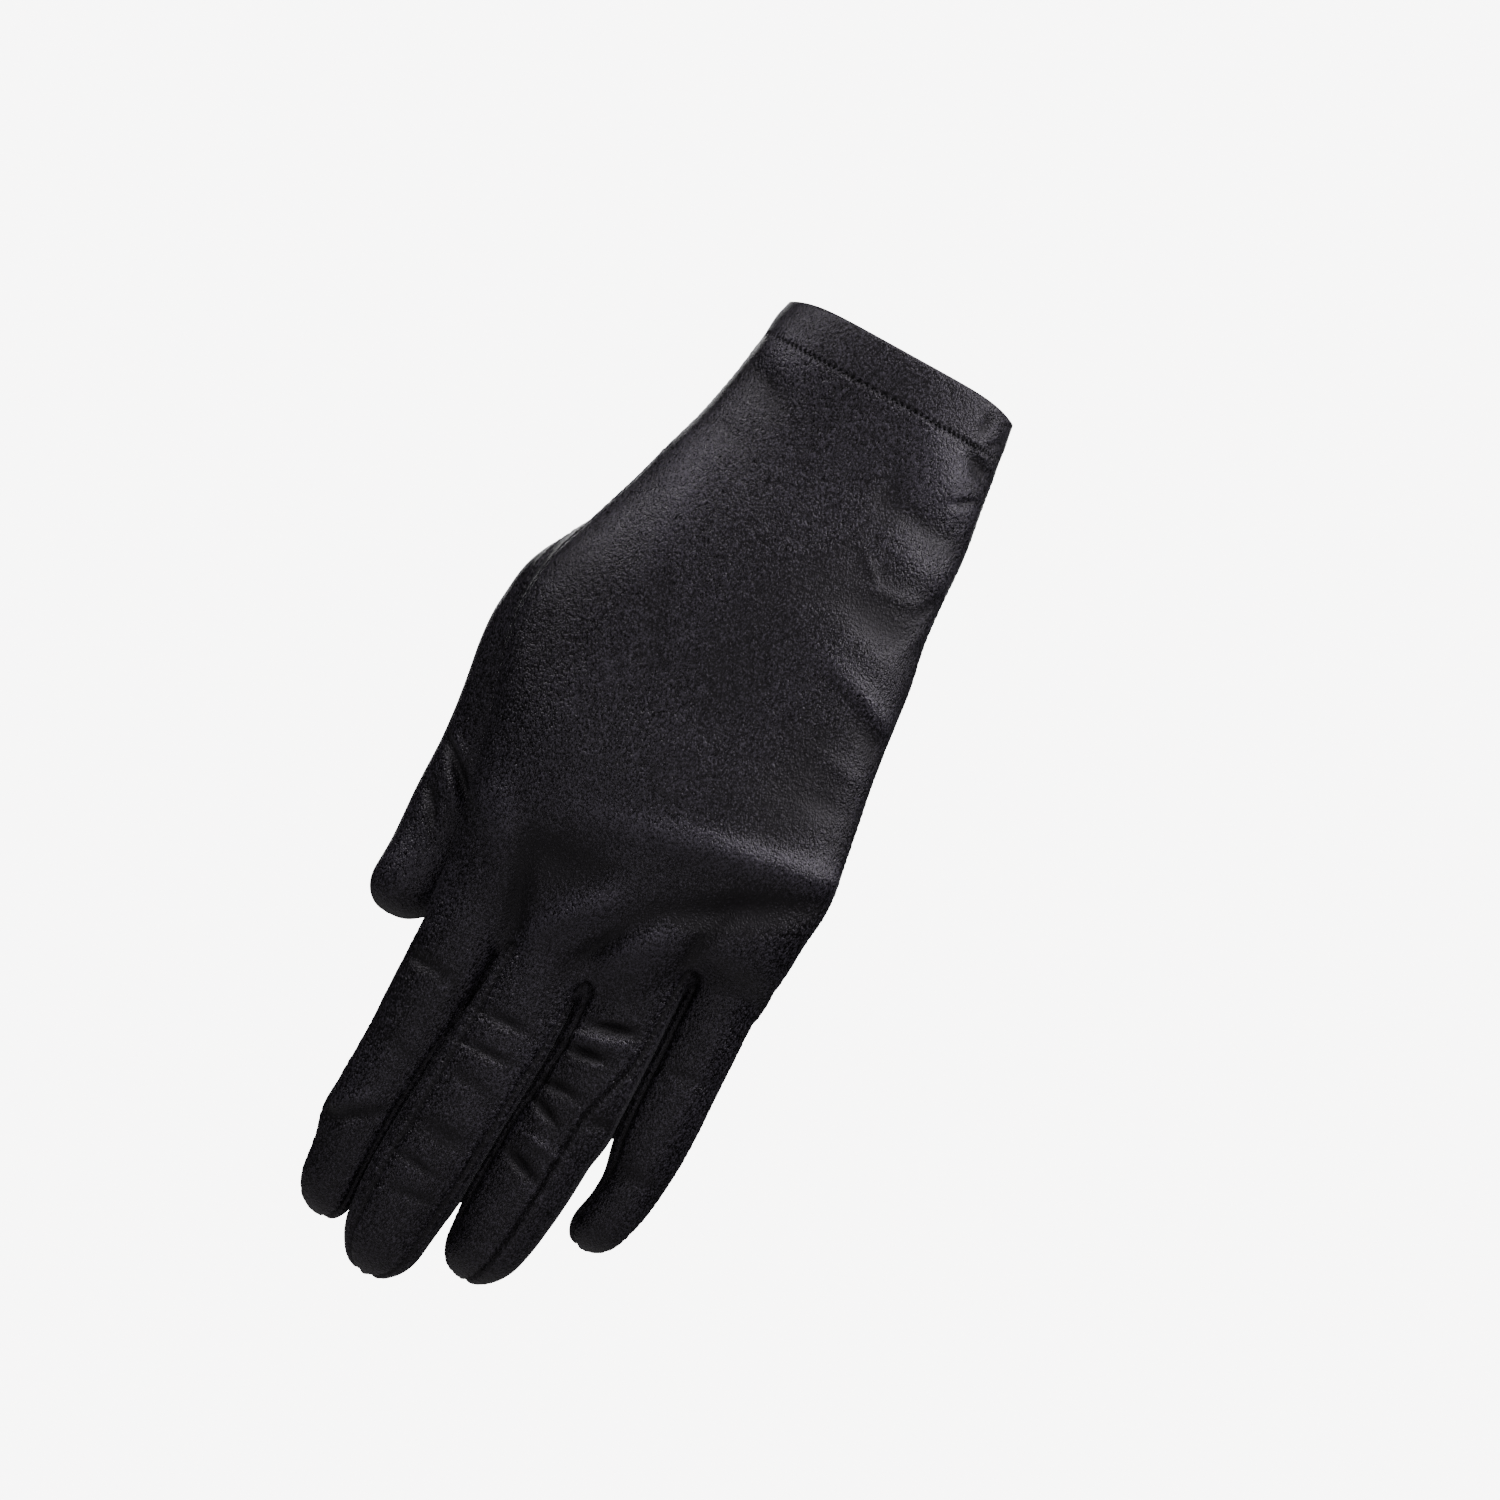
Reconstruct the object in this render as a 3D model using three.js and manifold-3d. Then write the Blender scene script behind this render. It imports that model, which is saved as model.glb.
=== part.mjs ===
// Left hand of a pair of wrist length dress gloves in black stretch satin, in the shape it has when worn.
// The hollow glove is sewn from a back panel, a palm panel, a set-in thumb, three fourchettes (the strips
// that make the sides of the fingers where two fingers meet) and a turned hem at the wrist.
// Millimetres. The origin is the centre of the wrist opening, +Z points out of it along the forearm,
// the fingers hang along -Z, the back of the hand faces -Y and the thumb is on the -X side.
import * as THREE from "three";
import Module from "manifold-3d";

const wasm = await Module();
wasm.setup();

// Driving dimensions. A drop is a distance below the rim of the wrist opening.
const PALM_LENGTH = 149.5; // rim to the crotch between the middle and ring fingers
const WRIST_WIDTH = 54;
const WRIST_DEPTH = 37;
const PALM_WIDTH = 84.5; // at the widest place, across the thumb's root
const PALM_DEPTH = 31; // at the same place
const KNUCKLE_DEPTH = 25; // where the fingers begin
const LITTLE_RISE = 13; // how much higher the little finger's crotch lies than the others
const RIM_DIP = 2.4; // how far the rim falls at the two sides of the wrist
const HEM_HEIGHT = 10.3;
const HEM_TURNING = 2.5; // how far the turned ply runs on inside, past the stitches
const INDEX_LENGTH = 70.5; // each finger's length is measured from its crotch to its tip
const INDEX_WIDTH = 17.5;
const INDEX_DEPTH = 18;
const MIDDLE_LENGTH = 76.5;
const MIDDLE_WIDTH = 20;
const MIDDLE_DEPTH = 19;
const RING_LENGTH = 67.5;
const RING_WIDTH = 19.4;
const RING_DEPTH = 18;
const LITTLE_LENGTH = 62.5;
const LITTLE_WIDTH = 14.6;
const LITTLE_DEPTH = 15.5;
const INDEX_CURL = 14; // how far the index finger's tip lies behind its knuckle
const FINGER_CURL = 12; // the same for the other three fingers
const INDEX_SET = 1.6; // how far a finger's root lies behind the middle finger's
const RING_SET = 0.8;
const LITTLE_SET = 1.5;
const THUMB_LENGTH = 104; // from the top of its root to its tip
const THUMB_DROP = 52.5; // where its root starts
const THUMB_WIDTH = 21;
const THUMB_DEPTH = 21;
const WALL = 1; // satin, with its seam allowances
const SEAM_GAP = 0.3; // between two sewn pieces
const FINGER_GAP = 0.8; // air between two fingers that lie side by side
const WEB = 2.2; // height of the web of cloth in the crotch of two fingers
const THUMB_SEAM_REACH = 0.9; // how far the thumb piece's seam lies outside the thumb's own form
const THUMB_CLEARANCE = 3.2; // how far the side seam moves to the back of the hand to pass the thumb
const TIP_ROUND = 5; // length over which a fingertip closes

// Facets.
const PALM_SIDES = 26;
const FINGER_SIDES = 12;
const THUMB_SIDES = 12;
const PALM_STEP = 7.6; // between two rings of a loft
const FINGER_STEP = 7;
const FINEST = 0.16; // a facet smaller than this goes into its neighbours

// Outline of the hand from the rim to the crotch of the fingers. along is the share of PALM_LENGTH,
// spread goes from WRIST_WIDTH at 0 to PALM_WIDTH at 1, lean shifts the middle sideways and lift
// forwards (shares of PALM_WIDTH), thick is the share of the depth that depthAt gives.
const PALM_ROWS = [
  { along: 0.0, spread: 0.0, lean: 0.0, lift: 0.0, thick: 1.0 },
  { along: 0.035, spread: 0.05, lean: -0.002, lift: 0.0, thick: 1.0 },
  { along: 0.084, spread: 0.1, lean: 0.0, lift: 0.002, thick: 0.99 },
  { along: 0.15, spread: 0.2, lean: 0.0, lift: 0.004, thick: 0.97 },
  { along: 0.217, spread: 0.31, lean: -0.003, lift: 0.002, thick: 0.96 },
  { along: 0.284, spread: 0.43, lean: -0.016, lift: -0.002, thick: 0.98 },
  { along: 0.351, spread: 0.55, lean: -0.027, lift: -0.006, thick: 1.02 },
  { along: 0.418, spread: 0.72, lean: -0.036, lift: -0.012, thick: 1.04 },
  { along: 0.485, spread: 0.885, lean: -0.05, lift: -0.02, thick: 1.04 },
  { along: 0.552, spread: 0.97, lean: -0.05, lift: -0.026, thick: 1.03 },
  { along: 0.619, spread: 1.0, lean: -0.033, lift: -0.034, thick: 1.0 },
  { along: 0.686, spread: 0.977, lean: -0.008, lift: -0.042, thick: 0.99 },
  { along: 0.74, spread: 0.92, lean: 0.012, lift: -0.044, thick: 1.0 },
  { along: 0.8, spread: 0.8, lean: 0.017, lift: -0.036, thick: 1.0 },
  { along: 0.87, spread: 0.69, lean: 0.026, lift: -0.016, thick: 0.98 },
  { along: 0.935, spread: 0.61, lean: 0.04, lift: 0.008, thick: 0.84 },
  { along: 0.98, spread: 0.57, lean: 0.047, lift: 0.026, thick: 0.68 },
  { along: 1.005, spread: 0.55, lean: 0.048, lift: 0.034, thick: 0.54 },
  { along: 1.03, spread: 0.53, lean: 0.048, lift: 0.036, thick: 0.3 },
];

// The four fingers, from the thumb's side. place is the middle of the finger at its crotch, as a share of
// PALM_WIDTH, rise is the share of LITTLE_RISE that its crotch lies higher, curl is how far the tip lies
// behind the knuckle and set how far the root does. near and far give the reach of the seams on the
// thumb's side and on the other side, at the crotch and further down, in shares of the half width, and
// twist is how much the far seam leans over to the back of the hand further down. In the rows, along
// is the share of the length from the crotch to the tip (below 0 is the root inside the palm), side
// shifts the middle, and wide and deep scale the section (shares of the width and the depth).
const FINGERS = [
  {
    name: "index", length: INDEX_LENGTH, width: INDEX_WIDTH, depth: INDEX_DEPTH,
    curl: INDEX_CURL, set: INDEX_SET, place: -0.267, rise: 0,
    near: [1, 1], far: [0.55, 0.5], twist: 0,
    rows: [
      { along: -0.42, side: -0.14, wide: 0.7, deep: 0.8 },
      { along: -0.2, side: -0.07, wide: 0.97, deep: 1.06 },
      { along: 0.0, side: 0.0, wide: 1.01, deep: 1.04 },
      { along: 0.11, side: 0.02, wide: 0.97, deep: 1.0 },
      { along: 0.26, side: 0.04, wide: 0.93, deep: 0.97 },
      { along: 0.47, side: 0.03, wide: 0.87, deep: 0.93 },
      { along: 0.61, side: -0.01, wide: 0.85, deep: 0.9 },
      { along: 0.7, side: -0.03, wide: 0.86, deep: 0.88 },
      { along: 0.79, side: 0.0, wide: 0.76, deep: 0.8 },
      { along: 0.89, side: 0.02, wide: 0.72, deep: 0.7 },
      { along: 0.95, side: 0.06, wide: 0.6, deep: 0.6 },
      { along: 0.98, side: 0.08, wide: 0.45, deep: 0.45 },
      { along: 1.0, side: 0.09, wide: 0.24, deep: 0.24 },
    ],
  },
  {
    name: "middle", length: MIDDLE_LENGTH, width: MIDDLE_WIDTH, depth: MIDDLE_DEPTH,
    curl: FINGER_CURL, set: 0, place: -0.053, rise: 0,
    near: [0.8, 0.78], far: [0.9, 0.76], twist: 0,
    rows: [
      { along: -0.42, side: 0.0, wide: 0.7, deep: 0.85 },
      { along: -0.2, side: 0.0, wide: 0.9, deep: 1.1 },
      { along: 0.04, side: 0.0, wide: 0.94, deep: 1.0 },
      { along: 0.3, side: 0.0, wide: 1.0, deep: 0.97 },
      { along: 0.56, side: -0.04, wide: 1.01, deep: 0.94 },
      { along: 0.69, side: -0.085, wide: 0.97, deep: 0.9 },
      { along: 0.785, side: -0.1, wide: 0.9, deep: 0.84 },
      { along: 0.876, side: -0.1, wide: 0.79, deep: 0.74 },
      { along: 0.94, side: -0.1, wide: 0.66, deep: 0.62 },
      { along: 0.98, side: -0.1, wide: 0.47, deep: 0.44 },
      { along: 1.0, side: -0.1, wide: 0.27, deep: 0.26 },
    ],
  },
  {
    name: "ring", length: RING_LENGTH, width: RING_WIDTH, depth: RING_DEPTH,
    curl: FINGER_CURL, set: RING_SET, place: 0.184, rise: 0,
    near: [0.84, 0.88], far: [0.7, 0.78], twist: 0.6,
    rows: [
      { along: -0.42, side: -0.02, wide: 0.7, deep: 0.85 },
      { along: -0.2, side: 0.0, wide: 0.92, deep: 1.1 },
      { along: 0.04, side: 0.0, wide: 0.98, deep: 1.02 },
      { along: 0.19, side: 0.03, wide: 0.97, deep: 0.98 },
      { along: 0.34, side: 0.01, wide: 0.99, deep: 0.97 },
      { along: 0.49, side: -0.03, wide: 1.01, deep: 0.95 },
      { along: 0.64, side: -0.05, wide: 1.0, deep: 0.92 },
      { along: 0.785, side: -0.07, wide: 0.92, deep: 0.85 },
      { along: 0.86, side: -0.09, wide: 0.83, deep: 0.77 },
      { along: 0.94, side: -0.13, wide: 0.65, deep: 0.62 },
      { along: 0.98, side: -0.14, wide: 0.46, deep: 0.44 },
      { along: 1.0, side: -0.14, wide: 0.29, deep: 0.26 },
    ],
  },
  {
    name: "little", length: LITTLE_LENGTH, width: LITTLE_WIDTH, depth: LITTLE_DEPTH,
    curl: FINGER_CURL, set: LITTLE_SET, place: 0.382, rise: 1,
    near: [0.64, 0.8], far: [1, 1], twist: 0,
    rows: [
      { along: -0.42, side: 0.0, wide: 0.7, deep: 0.85 },
      { along: -0.2, side: 0.0, wide: 0.95, deep: 1.12 },
      { along: 0.1, side: 0.0, wide: 0.99, deep: 1.0 },
      { along: 0.26, side: 0.04, wide: 0.99, deep: 0.98 },
      { along: 0.42, side: 0.08, wide: 1.01, deep: 0.96 },
      { along: 0.58, side: 0.11, wide: 0.97, deep: 0.93 },
      { along: 0.7, side: 0.14, wide: 0.84, deep: 0.86 },
      { along: 0.81, side: 0.11, wide: 0.77, deep: 0.8 },
      { along: 0.9, side: 0.03, wide: 0.72, deep: 0.7 },
      { along: 0.95, side: -0.01, wide: 0.6, deep: 0.58 },
      { along: 0.98, side: -0.03, wide: 0.45, deep: 0.44 },
      { along: 1.0, side: -0.03, wide: 0.28, deep: 0.26 },
    ],
  },
];

// The thumb, from its root inside the palm to its tip. side and back place its middle (shares of
// PALM_WIDTH), wide and deep scale its section.
const THUMB_ROWS = [
  { along: 0.0, side: -0.2, back: 0.04, wide: 0.7, deep: 0.7 },
  { along: 0.1, side: -0.325, back: 0.07, wide: 1.14, deep: 0.95 },
  { along: 0.22, side: -0.41, back: 0.12, wide: 1.33, deep: 1.14 },
  { along: 0.33, side: -0.436, back: 0.165, wide: 1.29, deep: 1.17 },
  { along: 0.42, side: -0.44, back: 0.2, wide: 1.22, deep: 1.14 },
  { along: 0.52, side: -0.434, back: 0.235, wide: 1.13, deep: 1.08 },
  { along: 0.63, side: -0.43, back: 0.262, wide: 1.05, deep: 1.0 },
  { along: 0.75, side: -0.431, back: 0.28, wide: 1.0, deep: 0.96 },
  { along: 0.86, side: -0.426, back: 0.29, wide: 0.96, deep: 0.91 },
  { along: 0.93, side: -0.424, back: 0.293, wide: 0.9, deep: 0.8 },
  { along: 0.975, side: -0.424, back: 0.293, wide: 0.72, deep: 0.6 },
  { along: 1.0, side: -0.424, back: 0.293, wide: 0.42, deep: 0.34 },
];

// Folds and dents of the hand. across and along place the middle (shares of PALM_WIDTH and
// PALM_LENGTH), turn is the fold's angle to the wrist line in degrees, long and wide its reach along and
// across itself and high its height (shares of PALM_WIDTH, below 0 a dent), and face the side it is on:
// -1 the back, 1 the palm.
const HAND_FOLDS = [
  { across: 0.24, along: 0.745, turn: 12, long: 0.3, wide: 0.05, high: 0.013, face: -1 },
  { across: 0.2, along: 0.835, turn: 26, long: 0.24, wide: 0.055, high: -0.013, face: -1 },
  { across: -0.06, along: 0.93, turn: 55, long: 0.13, wide: 0.05, high: 0.011, face: -1 },
  { across: -0.2, along: 0.915, turn: -60, long: 0.12, wide: 0.05, high: -0.012, face: -1 },
  { across: 0.27, along: 0.335, turn: 8, long: 0.11, wide: 0.045, high: -0.011, face: -1 },
  { across: 0.34, along: 0.42, turn: -22, long: 0.13, wide: 0.045, high: -0.011, face: -1 },
  { across: 0.31, along: 0.11, turn: -30, long: 0.07, wide: 0.045, high: -0.011, face: -1 },
  { across: 0.02, along: 0.62, turn: 90, long: 0.26, wide: 0.22, high: -0.038, face: 1 },
  { across: 0.3, along: 0.5, turn: 90, long: 0.3, wide: 0.16, high: 0.026, face: 1 },
];

// Folds across the back of the fingers and the thumb. along is the share of the length, turn the fall
// from the thumb's side to the other as a share of the length, and wide and high the reach and the
// height as shares of the width.
const FINGER_FOLDS = {
  index: [
    { along: 0.16, turn: 0, wide: 0.13, high: -0.026 },
    { along: 0.7, turn: -0.05, wide: 0.125, high: -0.05 },
  ],
  middle: [
    { along: 0.21, turn: 0, wide: 0.12, high: -0.026 },
    { along: 0.5, turn: 0, wide: 0.12, high: -0.026 },
  ],
  ring: [
    { along: 0.06, turn: -0.05, wide: 0.115, high: -0.046 },
    { along: 0.17, turn: -0.06, wide: 0.115, high: -0.046 },
    { along: 0.32, turn: -0.02, wide: 0.115, high: -0.036 },
    { along: 0.56, turn: 0.03, wide: 0.115, high: -0.036 },
  ],
  little: [{ along: 0.66, turn: 0, wide: 0.16, high: -0.034 }],
  thumb: [
    { along: 0.64, turn: 0.09, wide: 0.14, high: -0.052 },
    { along: 0.79, turn: 0.07, wide: 0.125, high: -0.034 },
  ],
};

const PALM_SQUARENESS = 2.4; // exponent of the superellipse that a section is
const FINGER_SQUARENESS = 2.25;
const OVERLAP = 0.6; // how far the middle finger lies over the index finger
const ROOT_SLOPE = 0.08; // how steeply a finger's root runs back inside the hand
const EVEN_CURL = 0.55; // share of a finger's curl that comes evenly, where the rest grows to the tip
const END_RISE = 1.15; // how far the hand's end rises at the little finger, as a share of LITTLE_RISE
const MOST_INSET = 0.85; // of a section's smaller half size
const EDGE_DRAW = 0.8; // how much of the hem's round edge the coarse rings follow
const HAND_END = PALM_LENGTH + 2 * WEB; // where the hand's own form closes, inside the fingers
const EDGE_ROUND = 1.1; // of the hem's edge, where the satin turns in
const BEYOND = 4; // how far a cutter runs past what it cuts
const CUTTER_HALF_DEPTH = 60;

const satin = (lightness) =>
  new THREE.MeshStandardMaterial({
    color: new THREE.Color(lightness, lightness, lightness * 1.08),
    roughness: 0.42,
    metalness: 0,
  });
const PANEL_SATIN = satin(0.032);
const FOURCHETTE_SATIN = satin(0.028);
const HEM_SATIN = satin(0.034);

/** Value of one column of a table at a place along it, on a smooth curve through its rows. */
function sample(rows, column, along) {
  const last = rows.length - 1;
  if (along <= rows[0].along) return rows[0][column];
  if (along >= rows[last].along) return rows[last][column];
  const i = rows.findIndex((row) => row.along > along) - 1;
  const slope = (k) => {
    const before = rows[Math.max(k - 1, 0)];
    const after = rows[Math.min(k + 1, last)];
    return (after[column] - before[column]) / (after.along - before.along);
  };
  const span = rows[i + 1].along - rows[i].along;
  const t = (along - rows[i].along) / span;
  const rise = rows[i + 1][column] - rows[i][column];
  const a = slope(i) * span - rise;
  const b = rise - slope(i + 1) * span;
  return rows[i][column] + t * rise + t * (1 - t) * (a * (1 - t) + b * t);
}

/** Height of a fold's bell at a distance, in reaches. */
const bell = (distance) => Math.exp(-distance * distance);

/** Depth of the hand at a share of its length, between its three named depths. */
function depthAt(along) {
  const toPalm = THREE.MathUtils.smoothstep(along, 0.3, 0.62);
  const toKnuckle = THREE.MathUtils.smoothstep(along, 0.62, 0.88);
  return WRIST_DEPTH + (PALM_DEPTH - WRIST_DEPTH) * toPalm + (KNUCKLE_DEPTH - PALM_DEPTH) * toKnuckle;
}

/** Section of the hand at a drop below the rim. */
function palmSection(drop) {
  const along = drop / PALM_LENGTH;
  return {
    x: sample(PALM_ROWS, "lean", along) * PALM_WIDTH,
    y: sample(PALM_ROWS, "lift", along) * PALM_WIDTH,
    halfWidth: (WRIST_WIDTH + (PALM_WIDTH - WRIST_WIDTH) * sample(PALM_ROWS, "spread", along)) / 2,
    halfDepth: (depthAt(along) * sample(PALM_ROWS, "thick", along)) / 2,
  };
}

/** Drop of the crotch line that a finger starts from. */
const crotchDrop = (finger) => PALM_LENGTH - finger.rise * LITTLE_RISE;

/** Section of a finger at a drop below the rim. */
function fingerSection(finger, drop) {
  const along = (drop - crotchDrop(finger)) / finger.length;
  const bend = Math.max(along, 0);
  const root = palmSection(PALM_LENGTH).y + finger.set;
  const rootRise = Math.min(along, 0) * finger.length * ROOT_SLOPE;
  return {
    x: finger.place * PALM_WIDTH + sample(finger.rows, "side", along) * finger.width,
    y: root + rootRise + finger.curl * THREE.MathUtils.lerp(bend * bend, bend, EVEN_CURL),
    halfWidth: (finger.width * sample(finger.rows, "wide", along)) / 2,
    halfDepth: (finger.depth * sample(finger.rows, "deep", along)) / 2,
  };
}

/** Reach of one of a finger's seams at a drop, in shares of the half width. */
function seamReach(finger, side, drop) {
  const along = (drop - crotchDrop(finger)) / finger.length;
  const [crotch, further] = finger[side];
  return THREE.MathUtils.lerp(crotch, further, THREE.MathUtils.smoothstep(along, 0, 0.45));
}

/** Section of the thumb at a drop below the rim. */
function thumbSection(drop) {
  const along = (drop - THUMB_DROP) / THUMB_LENGTH;
  return {
    x: sample(THUMB_ROWS, "side", along) * PALM_WIDTH,
    y: sample(THUMB_ROWS, "back", along) * PALM_WIDTH,
    halfWidth: (THUMB_WIDTH * sample(THUMB_ROWS, "wide", along)) / 2,
    halfDepth: (THUMB_DEPTH * sample(THUMB_ROWS, "deep", along)) / 2,
  };
}

/** Height of the hand's folds at a point, where facing is the outward direction's y. */
function handFold(x, drop, facing) {
  let height = 0;
  for (const fold of HAND_FOLDS) {
    const share = THREE.MathUtils.smoothstep(facing * fold.face, 0.1, 0.7);
    const turn = THREE.MathUtils.degToRad(fold.turn);
    const dx = x - fold.across * PALM_WIDTH;
    const dz = fold.along * PALM_LENGTH - drop;
    const p = dx * Math.cos(turn) + dz * Math.sin(turn);
    const q = dz * Math.cos(turn) - dx * Math.sin(turn);
    height += share * fold.high * bell(p / (fold.long * PALM_WIDTH)) * bell(q / (fold.wide * PALM_WIDTH));
  }
  return height * PALM_WIDTH;
}

/** A function that gives the height of a finger's folds at a point of its section. */
function fingerFold(name, start, length, width) {
  return (x, drop, facing, section) => {
    const onBack = THREE.MathUtils.smoothstep(-facing, -0.2, 0.5);
    return FINGER_FOLDS[name].reduce((height, fold) => {
      const across = (x - section.x) / section.halfWidth;
      const middle = start + (fold.along + fold.turn * across * 0.5) * length;
      return height + onBack * fold.high * width * bell((drop - middle) / (fold.wide * width));
    }, 0);
  };
}

/** A power of a number that keeps the number's sign. */
const raised = (value, power) => Math.sign(value) * Math.abs(value) ** power;

/** One ring of a loft: a superellipse, with its folds, moved inwards by inset along its own normals. */
function sectionRing(section, drop, { sides, squareness, inset = 0, fold, dip }) {
  const power = 2 / squareness;
  const points = [];
  for (let k = 0; k < sides; k++) {
    const angle = (2 * Math.PI * k) / sides;
    const x = section.halfWidth * raised(Math.cos(angle), power);
    const y = section.halfDepth * raised(Math.sin(angle), power);
    const normal = new THREE.Vector2(
      raised(Math.cos(angle), 2 - power) / section.halfWidth,
      raised(Math.sin(angle), 2 - power) / section.halfDepth,
    ).normalize();
    const height = fold ? fold(section.x + x, drop, normal.y, section) : 0;
    const offset = height - Math.min(inset, MOST_INSET * Math.min(section.halfWidth, section.halfDepth));
    const fall = dip ? dip((x / section.halfWidth) ** 6) : 0;
    points.push(
      new THREE.Vector3(section.x + x + normal.x * offset, section.y + y + normal.y * offset, -drop - fall),
    );
  }
  return points;
}

/** Closed solid through a list of rings that run downwards, each with as many points as the others. */
function loft(rings) {
  const sides = rings[0].length;
  const lastStart = sides * (rings.length - 1);
  const triangles = [];
  for (let k = 0; k < sides; k++) {
    const next = (k + 1) % sides;
    for (let start = 0; start < lastStart; start += sides) {
      const [a, b, c, d] = [start + k, start + next, start + sides + next, start + sides + k];
      triangles.push(a, d, b, b, d, c);
    }
  }
  // Each end is closed by strips from the front to the back.
  for (let k = 0; k < sides / 2; k++) {
    const [a, b, c, d] = [k, k + 1, sides - k - 1, (sides - k) % sides];
    if (b !== c) triangles.push(a, b, c, lastStart + a, lastStart + c, lastStart + b);
    if (d !== a) triangles.push(a, c, d, lastStart + a, lastStart + d, lastStart + c);
  }
  const vertProperties = new Float32Array(rings.flat().flatMap((p) => p.toArray()));
  return new wasm.Manifold(
    new wasm.Mesh({ numProp: 3, vertProperties, triVerts: new Uint32Array(triangles) }),
  );
}

/** Drops from one to another in even steps of about the given size. */
function drops(from, to, step) {
  const count = Math.max(1, Math.round((to - from) / step));
  return Array.from({ length: count + 1 }, (_, i) => from + ((to - from) * i) / count);
}

/** How much a ring rises on the little finger's side, so that the hand's end follows the crotches. */
function crotchRise(x, drop) {
  const toLittle = THREE.MathUtils.smoothstep(x / PALM_WIDTH, 0.16, 0.32);
  const toEnd = THREE.MathUtils.smoothstep(drop / PALM_LENGTH, 0.84, 1.03);
  return END_RISE * LITTLE_RISE * toLittle * toEnd;
}

/** How much the hem's edge draws in at a drop, on the round where the satin turns. */
function edgeRound(drop) {
  const t = Math.min(drop / EDGE_ROUND, 1);
  return EDGE_ROUND * (1 - Math.sqrt(1 - (1 - t) ** 2)) * EDGE_DRAW;
}

/** The hand's own form between two drops, inset from the outside by a wall. */
function palmLoft(from, to, inset) {
  const start = Math.max(from, 0);
  const end = Math.min(to, HAND_END - inset);
  const isRim = from === 0;
  const levels = drops(start, end, PALM_STEP);
  if (isRim) levels.splice(1, 0, 0.25 * EDGE_ROUND, EDGE_ROUND);
  const rings = levels.map((drop) => {
    const dip = (side) => RIM_DIP * side * (1 - THREE.MathUtils.smoothstep(drop, 0, HEM_HEIGHT));
    const ring = sectionRing(palmSection(drop), drop, {
      sides: PALM_SIDES,
      squareness: PALM_SQUARENESS,
      inset: inset + (isRim ? edgeRound(drop) : 0),
      fold: handFold,
      dip,
    });
    ring.forEach((p) => (p.z += crotchRise(p.x, drop)));
    return ring;
  });
  if (from < 0) rings.unshift(rings[0].map((p) => p.clone().setZ(p.z - from)));
  return loft(rings);
}

/** A finger or thumb between its root and its tip, inset from the outside by a wall. */
function tubeLoft(sectionAt, from, to, options) {
  const tip = to - options.inset;
  const levels = [...drops(from, to - TIP_ROUND, FINGER_STEP), to - 0.48 * TIP_ROUND, tip];
  if (options.inset < WALL) levels.splice(-1, 0, to - 0.24 * TIP_ROUND);
  return loft(levels.map((drop) => sectionRing(sectionAt(drop), drop, options)));
}

/** A finger's own form. */
function fingerLoft(finger, inset) {
  const start = crotchDrop(finger);
  const root = start + finger.rows[0].along * finger.length;
  return tubeLoft((drop) => fingerSection(finger, drop), root, start + finger.length, {
    sides: FINGER_SIDES,
    squareness: FINGER_SQUARENESS,
    inset,
    fold: fingerFold(finger.name, start, finger.length, finger.width),
  });
}

/** The thumb's own form. */
function thumbLoft(inset) {
  return tubeLoft(thumbSection, THUMB_DROP, THUMB_DROP + THUMB_LENGTH, {
    sides: THUMB_SIDES,
    squareness: FINGER_SQUARENESS,
    inset,
    fold: fingerFold("thumb", THUMB_DROP, THUMB_LENGTH, THUMB_WIDTH),
  });
}

/**
 * Upright cutter, given at each drop by its left and right edge in the plane y of the fingers' middles,
 * and by how much the left edge moves outwards per millimetre towards the back of the hand.
 */
function cutterThrough(levels, edgesAt) {
  const deep = CUTTER_HALF_DEPTH;
  const rings = levels.map((drop) => {
    const { left, right, y, twist = 0 } = edgesAt(drop);
    return [
      new THREE.Vector3(right, y, -drop),
      new THREE.Vector3(right, y + deep, -drop),
      new THREE.Vector3(left, y + deep, -drop),
      new THREE.Vector3(left, y, -drop),
      new THREE.Vector3(left - twist * deep, y - deep, -drop),
      new THREE.Vector3(right, y - deep, -drop),
    ];
  });
  return loft(rings);
}

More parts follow.
